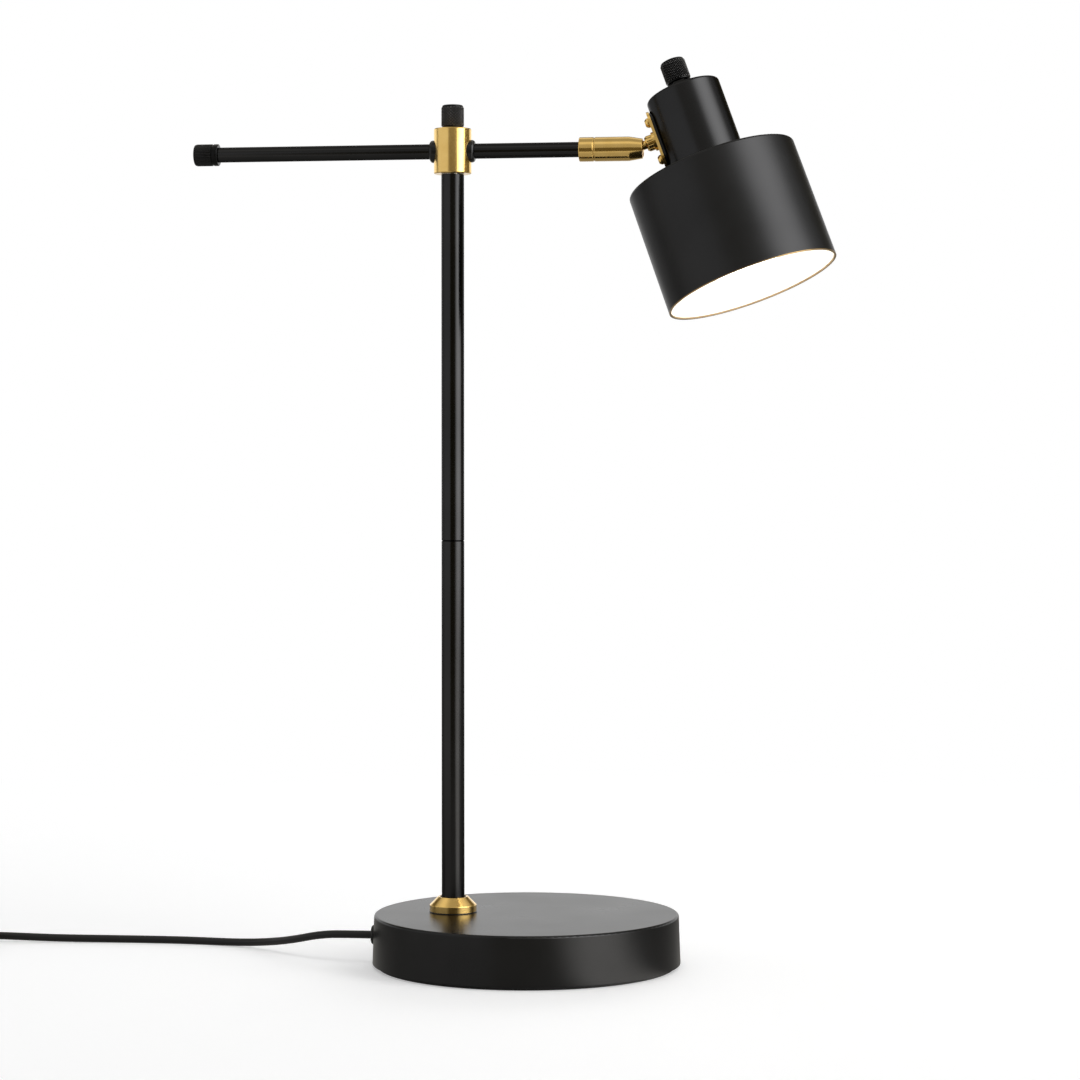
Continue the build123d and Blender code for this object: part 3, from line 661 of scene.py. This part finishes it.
def rounded(corners):
    """Outline of (radius, height) points, with an arc at each corner that gives a third number"""
    points = [Vector(corner[:2]) for corner in corners]
    outline = []
    for index, corner in enumerate(corners):
        point = points[index]
        if len(corner) == 2:
            outline.append(point)
            continue
        bend = corner[2]
        back = (points[index - 1] - point).normalized()
        ahead = (points[(index + 1) % len(points)] - point).normalized()
        half = back.angle(ahead) / 2
        middle = point + (back + ahead).normalized() * (bend / sin(half))
        start = point + back * (bend / tan(half)) - middle
        end = point + ahead * (bend / tan(half)) - middle
        for step in range(ARC_STEPS + 1):
            outline.append(middle + bend * start.slerp(end, step / ARC_STEPS).normalized())
    return outline


def ring(mesh, place, height, radii):
    """Ring of points about the Z axis of a place, or one point where the radius is nothing"""
    if max(radii) == 0:
        return [mesh.verts.new(place @ Vector((0, 0, height)))]
    turns = [FULL_TURN * column / len(radii) for column in range(len(radii))]
    return [
        mesh.verts.new(place @ Vector((radius * cos(turn), radius * sin(turn), height)))
        for radius, turn in zip(radii, turns)
    ]


def plain_rings(mesh, place, outline, columns):
    return [ring(mesh, place, height, [radius] * columns) for radius, height in outline]


def join(mesh, lower, upper):
    """Faces between two rings; a ring of one point gives triangles"""
    for column in range(max(len(lower), len(upper))):
        following = column + 1
        corners = (
            lower[column % len(lower)],
            lower[following % len(lower)],
            upper[following % len(upper)],
            upper[column % len(upper)],
        )
        mesh.faces.new(list(dict.fromkeys(corners)))


def join_all(mesh, rings):
    for lower, upper in zip(rings, rings[1:]):
        join(mesh, lower, upper)


def join_diamonds(mesh, lower, upper, row):
    """Faces between two rings of a diamond knurl, folded along the grooves"""
    for column in range(len(lower)):
        following = (column + 1) % len(lower)
        a, b, c, d = lower[column], lower[following], upper[following], upper[column]
        folds = ((a, b, d), (b, c, d)) if (column + row) % 2 else ((a, b, c), (a, c, d))
        for fold in folds:
            mesh.faces.new(fold)


def put(name, mesh, material):
    """Object in the scene from a mesh in the making"""
    data = bpy.data.meshes.new(name)
    mesh.to_mesh(data)
    mesh.free()
    data.materials.append(material)
    made = bpy.data.objects.new(name, data)
    bpy.context.scene.collection.objects.link(made)
    return made


def piece(name, mesh, body, material):
    """Smooth object with sharp edges, riding on a body"""
    bmesh.ops.recalc_face_normals(mesh, faces=mesh.faces)
    made = put(name, mesh, FINISHES[material])
    for polygon in made.data.polygons:
        polygon.use_smooth = True
    made.data.set_sharp_from_angle(angle=SHARP_ANGLE)
    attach(made, body)
    return made


def diamond_knob(name, node, body, axis, bore, diamonds, rows, depth):
    """Knob with a diamond knurl between a turned foot and a rounded top with a shallow dish"""
    place, radius, height = measure(node, axis)
    columns = 2 * diamonds
    root = radius - depth
    bore_end = KNOB_BORE * height
    dish = height - KNOB_DISH_DEPTH
    start = KNOB_FOOT + depth
    span = height - KNOB_EDGE - KNOB_FOOT - 2 * depth
    mesh = bmesh.new()
    crest = mesh.verts.layers.float.new(CREST)
    below = plain_rings(mesh, place, rounded((
        (0, bore_end), (bore, bore_end), (bore, 0), (root, 0, KNOB_FOOT_ROUND), (root, KNOB_FOOT),
    )), columns)
    band = []
    for row in range(rows + 1):
        radii = [radius if (column + row) % 2 else root for column in range(columns)]
        band.append(ring(mesh, place, start + span * row / rows, radii))
        for column, point in enumerate(band[-1]):
            point[crest] = (column + row) % 2
    above = plain_rings(mesh, place, rounded((
        (root, height - KNOB_EDGE), (root, height, EDGE_ROUND * KNOB_EDGE),
        (KNOB_DISH * radius, height, KNOB_DISH_ROUND), (KNOB_DISH_FLOOR * radius, dish, KNOB_DISH_ROUND),
        (0, dish),
    )), columns)
    join_all(mesh, below)
    join(mesh, below[-1], band[0])
    for row in range(rows):
        join_diamonds(mesh, band[row], band[row + 1], row)
    join(mesh, band[-1], above[0])
    join_all(mesh, above)
    knob = piece(name, mesh, body, "knurled_black")
    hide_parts(node)


def ribbed_cap(sizes):
    """Cap on the arm's tail: straight ribs, a groove and a plain collar next to the arm"""
    place, radius, length = measure("arm_end_cap", ARM_AXIS)
    columns = 2 * sizes.cap_ribs
    bore = measure("arm_tube", ARM_AXIS).radius
    bore_end = CAP_BORE_END * length
    root = radius - sizes.cap_rib_depth
    groove_start = length - CAP_GROOVE_START
    groove_end = length - CAP_GROOVE_END
    groove_root = radius - CAP_GROOVE_DEPTH
    mesh = bmesh.new()
    crest = mesh.verts.layers.float.new(CREST)
    tail = plain_rings(mesh, place, rounded((
        (0, 0), (root, 0, EDGE_ROUND * CAP_EDGE), (root, CAP_EDGE),
    )), columns)
    radii = [radius if column % 2 else root for column in range(columns)]
    rib_ends = (CAP_EDGE + CAP_RIB_TAIL, groove_start - CAP_RIB_HEAD)
    ribs = [ring(mesh, place, height, radii) for height in rib_ends]
    for row in ribs:
        for column, point in enumerate(row):
            point[crest] = CAP_RIB_CREST * (column % 2)
    collar = plain_rings(mesh, place, rounded((
        (root, groove_start), (groove_root, groove_start + CAP_GROOVE_SLOPE), (groove_root, groove_end),
        (radius, groove_end, CAP_COLLAR_ROUND), (radius, length, CAP_MOUTH_ROUND), (bore, length),
        (bore, bore_end), (0, bore_end),
    )), columns)
    join_all(mesh, tail)
    join_all(mesh, [tail[-1], *ribs, collar[0]])
    join_all(mesh, collar)
    cap = piece("arm_end_cap_ribbed", mesh, "arm", "knurled_black")
    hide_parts("arm_end_cap")


def turned_ring(name, place, outline, body, material):
    """Ring turned from a closed outline"""
    mesh = bmesh.new()
    rings = plain_rings(mesh, place, outline, RING_COLUMNS)
    join_all(mesh, rings + rings[:1])
    piece(name, mesh, body, material)


def groove_washer():
    """Thin brass washer in the groove between the swivel collar and the sleeve"""
    sleeve = measure("swivel_sleeve", ARM_AXIS)
    outer = sleeve.radius - WASHER_STEP
    inner = outer - WASHER_WIDTH
    front = -WASHER_GAP
    back = front - WASHER_THICKNESS
    outline = ((inner, back), (outer, back), (outer, front), (inner, front))
    turned_ring("swivel_washer", sleeve.place, outline, "arm", "brass_arm")


def collar_shadow_ring():
    """Thin black ring in the corner between the collar of the pole and the base: a painted contact shadow
    under the collar
    """
    collar = measure("pole_collar", UP)
    inner = collar.radius - SHADOW_RING_WIDTH
    outer = collar.radius + SHADOW_RING_LIP
    outline = rounded((
        (inner, 0), (outer, 0), (outer, SHADOW_RING_HEIGHT, SHADOW_RING_LIP), (inner, SHADOW_RING_HEIGHT),
    ))
    turned_ring("collar_shadow_ring", collar.place, outline, "base", "moulded_black")


def socket_screw(node, body, axis, material, form):
    """Screw with a domed head and a hexagon socket"""
    place, radius, length = measure(node, axis)
    seat = length - form.head
    dome = length - SCREW_DOME * form.head
    sector = SCREW_COLUMNS // SOCKET_SIDES
    turns = [FULL_TURN / SCREW_COLUMNS * (column % sector) for column in range(SCREW_COLUMNS)]
    hexagon = [SOCKET_RADIUS * radius / cos(pi / SOCKET_SIDES - turn) for turn in turns]
    corner = max(hexagon)
    mesh = bmesh.new()
    stem = plain_rings(mesh, place, rounded((
        (0, 0), (form.shank, 0, SCREW_TIP_ROUND), (form.shank, seat), (radius, seat, SCREW_SEAT_ROUND),
        (radius, dome, SCREW_DOME_ROUND), (SCREW_CROWN * corner, length, SCREW_CROWN_ROUND),
        (SCREW_MOUTH * corner, length),
    )), SCREW_COLUMNS)
    mouth = ring(mesh, place, length, hexagon)
    floor = ring(mesh, place, length - SOCKET_DEPTH * form.head, hexagon)
    bottom = ring(mesh, place, length - SOCKET_POINT * form.head, [0])
    join_all(mesh, stem + [mouth, floor, bottom])
    screw = piece(node + "_socketed", mesh, body, material)
    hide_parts(node)


# Operators, one for each piece or group of like pieces


class LAMP_OT_camera(bpy.types.Operator):
    """Sets the camera at the viewing angle"""

    bl_idname = "desk_lamp.camera"
    bl_label = "Camera"

    def execute(self, context):
        stage = context.scene.lamp_stage
        data = bpy.data.cameras.new("camera")
        data.lens = stage.camera_lens
        data.clip_end = CAMERA_REACH
        camera = bpy.data.objects.new("camera", data)
        camera.location = stage.camera_place
        camera.rotation_euler = (QUARTER_TURN - stage.camera_pitch, 0, stage.camera_heading)
        context.scene.collection.objects.link(camera)
        context.scene.camera = camera
        context.scene.view_settings.view_transform = "Standard"
        return {"FINISHED"}


def coil_points():
    """Flat coil in quarter turns: in along the table, up half a turn inside, and out on top"""
    step = QUARTER_TURN / POINTS_PER_QUARTER
    spread = 1 / cos(step / 2)
    narrowing = COIL_PITCH / QUARTERS
    layer_in = [COIL_RADIUS - narrowing * quarter for quarter in range(COIL_QUARTERS_IN)]
    inner = COIL_RADIUS - narrowing * COIL_QUARTERS_IN
    climb = [inner] * COIL_QUARTERS_CLIMBING
    layer_out = [inner + narrowing * (quarter + 1) for quarter in range(COIL_QUARTERS_OUT)]
    radii = layer_in + climb + layer_out
    centre = COIL_CENTRE.copy()
    points = []
    for quarter, radius in enumerate(radii):
        heading = QUARTER_TURN * (quarter + 1)
        if quarter:
            centre += (radii[quarter - 1] - radius) * Vector((cos(heading), sin(heading), 0))
        climbing = COIL_QUARTERS_IN <= quarter < COIL_QUARTERS_IN + COIL_QUARTERS_CLIMBING
        for part in range(POINTS_PER_QUARTER):
            turn = heading + step * (part + 0.5)
            if climbing:
                centre.z += COIL_LAYER / (COIL_QUARTERS_CLIMBING * POINTS_PER_QUARTER)
            points.append(centre + radius * spread * Vector((cos(turn), sin(turn), 0)))
    return points


class LAMP_OT_cord(bpy.types.Operator):
    """Lays the supply cord with its coil, and finishes the plug, the tie and the grommet on it"""

    bl_idname = "desk_lamp.cord"
    bl_label = "Supply cord"

    def execute(self, context):
        finishes(context)
        sizes = context.scene.lamp_sizes
        curve = bpy.data.curves.new("supply_cord", "CURVE")
        curve.dimensions = "3D"
        curve.bevel_depth = sizes.cord_radius
        curve.bevel_resolution = CORD_ROUNDNESS
        curve.use_fill_caps = True
        spline = curve.splines.new("NURBS")
        points = [*CORD_ROUTE, *coil_points(), *LEAD_OUT]
        spline.points.add(len(points) - 1)
        for control, point in zip(spline.points, points):
            control.co = (*point, 1.0)
        spline.order_u = CORD_ORDER
        spline.use_endpoint_u = True
        spline.resolution_u = CORD_STEPS
        curve.materials.append(FINISHES["cord_black"])
        cord = bpy.data.objects.new("supply_cord", curve)
        context.scene.collection.objects.link(cord)
        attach(cord, "base")
        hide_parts("cord_free", "cord_coil")
        dress(("cord_grommet",), "moulded_black")
        dress(("cord_tie", "plug_body"), "plug_black")
        dress(("plug_blade_left", "plug_blade_right"), "bare_blade")
        return {"FINISHED"}


class LAMP_OT_base(bpy.types.Operator):
    """Finishes the weighted base, its pad and screws, and the collar of the pole with a black ring of
    painted shadow under it
    """

    bl_idname = "desk_lamp.base"
    bl_label = "Base"

    def execute(self, context):
        finishes(context)
        dress(("base_shell",), "base_coat")
        dress(("base_ballast",), "rough_iron")
        dress(("bottom_plate", "pole_nipple", "nipple_washer", "nipple_nut"), "zinc_plate")
        dress(("foot_pad",), "foot_rubber")
        dress(("pole_collar",), "brass_upright")
        collar_shadow_ring()
        for node in ("bottom_screw_1", "bottom_screw_2", "bottom_screw_3"):
            socket_screw(node, "base", -UP, "zinc_plate", BOTTOM_SCREW)
        return {"FINISHED"}


class LAMP_OT_pole(bpy.types.Operator):
    """Finishes the pole, the arm and the fittings inside the pole, and ribs the cap on the arm's tail"""

    bl_idname = "desk_lamp.pole"
    bl_label = "Pole and arm"

    def execute(self, context):
        finishes(context)
        dress(("pole_lower", "pole_upper", "arm_tube"), "tube_coat")
        dress(("pole_coupler", "pole_spigot"), "zinc_plate")
        ribbed_cap(context.scene.lamp_sizes)
        return {"FINISHED"}


class LAMP_OT_block(bpy.types.Operator):
    """Finishes the brass block with its bushes, and knurls the clamp knob"""

    bl_idname = "desk_lamp.block"
    bl_label = "Cross block and clamp"

    def execute(self, context):
        finishes(context)
        sizes = context.scene.lamp_sizes
        dress(("cross_block", "clamp_tip"), "brass_upright")
        dress(("arm_bush_tail", "arm_bush_head"), "moulded_black")
        dress(("block_grub", "clamp_screw"), "zinc_plate")
        bore = measure("clamp_screw", UP).radius
        diamond_knob(
            "clamp_knob_knurled", "clamp_knob", "clamp", UP, bore,
            sizes.clamp_diamonds, sizes.clamp_rows, sizes.knurl_depth,
        )
        return {"FINISHED"}


class LAMP_OT_joint(bpy.types.Operator):
    """Finishes the brass ball joint between the arm and the head, with its washer and screws"""

    bl_idname = "desk_lamp.joint"
    bl_label = "Ball joint"

    def execute(self, context):
        finishes(context)
        dress(("swivel_collar", "swivel_sleeve"), "brass_arm")
        groove_washer()
        dress(("ball_stud",), "brass_neck")
        dress(("mount_plate",), "brass_plate")
        dress(("ball_seat", "mount_saddle"), "moulded_black")
        dress(("stud_nut", "mount_nut_lower", "mount_nut_upper"), "zinc_plate")
        for node in ("mount_screw_lower", "mount_screw_upper"):
            socket_screw(node, "head", -NECK_AXIS, "brass_neck", MOUNT_SCREW)
        return {"FINISHED"}


class LAMP_OT_head(bpy.types.Operator):
    """Finishes the cup, the switch and the lampholder, and knurls the switch knob"""

    bl_idname = "desk_lamp.head"
    bl_label = "Cup and switch"

    def execute(self, context):
        finishes(context)
        sizes = context.scene.lamp_sizes
        dress(("lamp_cup",), "satin_coat")
        dress(("rotary_switch",), "moulded_black")
        dress(("switch_washer", "switch_nut", "switch_shaft"), "tube_coat")
        dress(("lampholder", "shade_ring"), "moulded_white")
        dress(("lampholder_contact",), "brass_neck")
        bore = measure("switch_shaft", SHADE_AXIS).radius
        diamond_knob(
            "switch_knob_knurled", "switch_knob", "switch", SHADE_AXIS, bore,
            sizes.switch_diamonds, sizes.switch_rows, sizes.knurl_depth,
        )
        return {"FINISHED"}


class LAMP_OT_shade(bpy.types.Operator):
    """Finishes the shade, black outside and white inside, and lights the opal lamp in it"""

    bl_idname = "desk_lamp.shade"
    bl_label = "Shade and lamp"

    def execute(self, context):
        finishes(context)
        dress(("shade",), "shade_coat")
        dress(("lamp_cap",), "rolled_cap")
        dress(("lamp_glass",), "lit_opal")
        self.paint_inside()
        return {"FINISHED"}

    def paint_inside(self):
        """White paint on the faces that look at the lamp, and bare metal with a painted glow of the lamp on
        the edge face
        """
        data = frame["nodes"]["shade"].data
        painted = len(data.materials)
        data.materials.append(FINISHES["white_paint"])
        bare_and_glowing = len(data.materials)
        data.materials.append(FINISHES["bare_and_glowing_rim"])
        back = measure("shade", SHADE_AXIS).place.inverted()
        turn = back.to_3x3()
        for polygon in data.polygons:
            centre = back @ polygon.center
            normal = turn @ polygon.normal
            inward = -normal.xy.dot(centre.xy.normalized())
            if centre.z < SHADE_EDGE:
                polygon.material_index = bare_and_glowing
            elif max(inward, -normal.z) > PAINTED_FACING:
                polygon.material_index = painted


class LAMP_OT_stage(bpy.types.Operator):
    """Sets the world, the floor, the cards and the softboxes"""

    bl_idname = "desk_lamp.stage"
    bl_label = "Stage"

    def execute(self, context):
        stage = context.scene.lamp_stage
        context.scene.world = self.world(stage)
        self.floor(stage)
        self.cards(stage)
        self.softboxes(context, stage)
        return {"FINISHED"}

    def seen(self, made):
        """1 for rays from the camera, and for those that metal mirrors or glass lets through"""
        camera, glossy, through = (
            made.node("ShaderNodeLightPath", output=name)
            for name in ("Is Camera Ray", "Is Glossy Ray", "Is Transmission Ray")
        )
        return 1 - (1 - camera) * (1 - glossy) * (1 - through)

    def world(self, stage):
        """Plain dim light from all round, which looks white"""
        made = Finish(bpy.data.worlds.new("studio"))
        dim = stage.world_strength
        light = made.node("ShaderNodeBackground", None, {
            "Color": rgba(WHITE), "Strength": dim + (1 - dim) * self.seen(made),
        })
        made.node("ShaderNodeOutputWorld", None, {"Surface": light})
        return made.owner

    def floor(self, stage):
        """Matt floor that keeps the shadow, and turns into the white of the backdrop further away"""
        made = finish("floor")
        seen = self.seen(made)
        grey = stage.floor_grey
        matt = made.node("ShaderNodeBsdfDiffuse", None, {"Color": rgba((grey, grey, grey))})
        lift = self.light(made, rgba(WHITE), stage.floor_lift * seen)
        near = made.node("ShaderNodeAddShader", None, {0: matt, 1: lift})
        dim = stage.world_strength
        far = self.light(made, rgba(WHITE), dim + (1 - dim) * seen)
        away = self.fade(made, self.reach(made), stage.floor_near, stage.floor_far, 0.0, 1.0)
        both = made.node("ShaderNodeMixShader", None, {0: away, 1: near, 2: far})
        made.node("ShaderNodeOutputMaterial", None, {"Surface": both})
        mesh = bmesh.new()
        bmesh.ops.create_grid(mesh, x_segments=1, y_segments=1, size=FLOOR_SIZE)
        self.stand(mesh, made.owner)

    def cards(self, stage):
        """Cloths, a ceiling and a floor card that only the gloss sees,
        so that the metal has dark and light to mirror"""
        self.cloth("dark_cloth", DARK_CLOTHS, stage.cloth, 1.0)
        self.cloth("grey_cloth", (GREY_CLOTH,), stage.grey_cloth, 1.0)
        self.cloth("pale_cloth", (PALE_CLOTH,), WHITE, stage.pale_cloth)
        self.ceiling(stage)
        self.floor_card(stage)

    def cloth(self, name, bows, colour, strength):
        """Cloths of one colour, each on its bow"""
        mesh = bmesh.new()
        for bow in bows:
            self.hang(mesh, bow)
        self.card(mesh, finish(name), colour, strength)

    def ceiling(self, stage):
        """Ceiling with a bright ring, dark in its middle and at its edge"""
        made = finish("ceiling")
        reach = self.reach(made)
        dark = stage.ceiling_dark
        outwards = self.fade(made, reach, CEILING_MIDDLE, CEILING_RING, dark, stage.ceiling_light)
        edge = self.fade(made, reach, CEILING_RING, CEILING_EDGE, 1.0, dark)
        disc = self.disc(CEILING_RADIUS, CEILING_HEIGHT)
        self.card(disc, made, stage.warm_white, outwards * edge)

    def floor_card(self, stage):
        """Floor as the metal mirrors it: dim round the foot and behind, with a glint of the softbox"""
        made = finish("floor_card")
        reach = self.reach(made)
        far = self.fade(made, reach, stage.floor_near, stage.floor_far, stage.floor_card_near, 1.0)
        depth = made.along(BACKWARDS)
        behind = self.fade(made, depth, FLOOR_CARD_FRONT, FLOOR_CARD_BACK, 1.0, stage.floor_card_dark)
        heading = made.vector("NORMALIZE", {0: made.place()})
        facing = made.vector("DOT_PRODUCT", {0: heading, 1: GLINT_HEADING}, "Value")
        glint = self.fade(made, facing, GLINT_EDGE, 1.0, 0.0, stage.floor_glint)
        disc = self.disc(FLOOR_CARD_RADIUS, FLOOR_CARD_RISE)
        self.card(disc, made, stage.warm_white, far * behind + glint)

    def card(self, mesh, made, colour, strength):
        """Card that only the gloss sees"""
        glow = self.light(made, rgba(colour), strength)
        made.node("ShaderNodeOutputMaterial", None, {"Surface": glow})
        card = self.stand(mesh, made.owner)
        card.visible_camera = False
        card.visible_diffuse = False
        card.visible_transmission = False
        card.visible_shadow = False

    def light(self, made, colour, strength):
        return made.node("ShaderNodeEmission", None, {"Color": colour, "Strength": strength})

    def hang(self, mesh, bow):
        """Adds a cloth on a bow to a mesh"""
        span = bow.end - bow.start
        turns = [radians(bow.start + span * step / CLOTH_STEPS) for step in range(CLOTH_STEPS + 1)]
        near, far = (
            [mesh.verts.new((reach * sin(turn), -reach * cos(turn), height)) for turn in turns]
            for reach, height in (bow.near, bow.far)
        )
        for step in range(CLOTH_STEPS):
            mesh.faces.new((near[step], near[step + 1], far[step + 1], far[step]))

    def disc(self, radius, height):
        mesh = bmesh.new()
        place = Matrix.Translation((0, 0, height))
        bmesh.ops.create_circle(mesh, cap_ends=True, radius=radius, segments=DISC_COLUMNS, matrix=place)
        return mesh

    def reach(self, made):
        """How far from the upright through the middle of the stage"""
        flat = made.vector("MULTIPLY", {0: made.place(), 1: (1, 1, 0)})
        return made.vector("LENGTH", {0: flat}, "Value")

    def fade(self, made, value, start, end, first, last):
        """Runs smoothly from a first to a last value while another goes from start to end"""
        return made.node("ShaderNodeMapRange", {"interpolation_type": "SMOOTHSTEP"}, {
            "Value": value, "From Min": start, "From Max": end, "To Min": first, "To Max": last,
        })

    def softboxes(self, context, stage):
        self.softbox(context, "side_softbox", SIDE_SOFTBOX, stage.strip_power)
        self.softbox(context, "side_fill", SIDE_FILL, stage.fill_power)
        self.softbox(context, "top_softbox", TOP_SOFTBOX, stage.top_power)
        self.softbox(context, "back_softbox", BACK_SOFTBOX, stage.back_power)

    def softbox(self, context, name, box, power):
        """Softbox that is brightest down its middle and fades to both sides"""
        data = bpy.data.lights.new(name, "AREA")
        data.shape = "RECTANGLE"
        data.size = box.width
        data.size_y = box.height
        data.energy = power
        made = Finish(data)
        spot = made.node("ShaderNodeNewGeometry", output="Parametric")
        across = made.node("ShaderNodeSeparateXYZ", None, {0: spot})
        glow = made.node("ShaderNodeEmission", None, {"Strength": SOFTBOX_PEAK * across * (1 - across)})
        made.node("ShaderNodeOutputLight", None, {"Surface": glow})
        light = bpy.data.objects.new(name, data)
        light.location = box.place
        facing = Vector(box.target) - light.location
        light.rotation_euler = facing.to_track_quat("-Z", "Y").to_euler()
        light.visible_camera = False
        light.visible_diffuse = box.lights
        light.visible_glossy = box.mirrored
        context.scene.collection.objects.link(light)

    def stand(self, mesh, material):
        """Puts a mesh on the stage, under the name of its material"""
        made = put(material.name, mesh, material)
        return made


STEPS = (
    LAMP_OT_camera, LAMP_OT_cord, LAMP_OT_base, LAMP_OT_pole, LAMP_OT_block,
    LAMP_OT_joint, LAMP_OT_head, LAMP_OT_shade, LAMP_OT_stage,
)


class LAMP_PT_panel(bpy.types.Panel):
    """Lists the steps that dress the lamp"""

    bl_idname = "LAMP_PT_panel"
    bl_label = "Desk lamp"
    bl_space_type = "VIEW_3D"
    bl_region_type = "UI"
    bl_category = "Desk lamp"

    def draw(self, context):
        for step in STEPS:
            self.layout.operator(step.bl_idname)


CLASSES = (LampColours, LampSizes, LampStage, *STEPS, LAMP_PT_panel)


def register():
    for made in CLASSES:
        bpy.utils.register_class(made)
    bpy.types.Scene.lamp_colours = PointerProperty(type=LampColours)
    bpy.types.Scene.lamp_sizes = PointerProperty(type=LampSizes)
    bpy.types.Scene.lamp_stage = PointerProperty(type=LampStage)


def unregister():
    del bpy.types.Scene.lamp_stage
    del bpy.types.Scene.lamp_sizes
    del bpy.types.Scene.lamp_colours
    for made in reversed(CLASSES):
        bpy.utils.unregister_class(made)


def main():
    register()
    bpy.ops.desk_lamp.camera()
    bpy.ops.desk_lamp.cord()
    bpy.ops.desk_lamp.base()
    bpy.ops.desk_lamp.pole()
    bpy.ops.desk_lamp.block()
    bpy.ops.desk_lamp.joint()
    bpy.ops.desk_lamp.head()
    bpy.ops.desk_lamp.shade()
    bpy.ops.desk_lamp.stage()


if __name__ == "__main__":
    main()
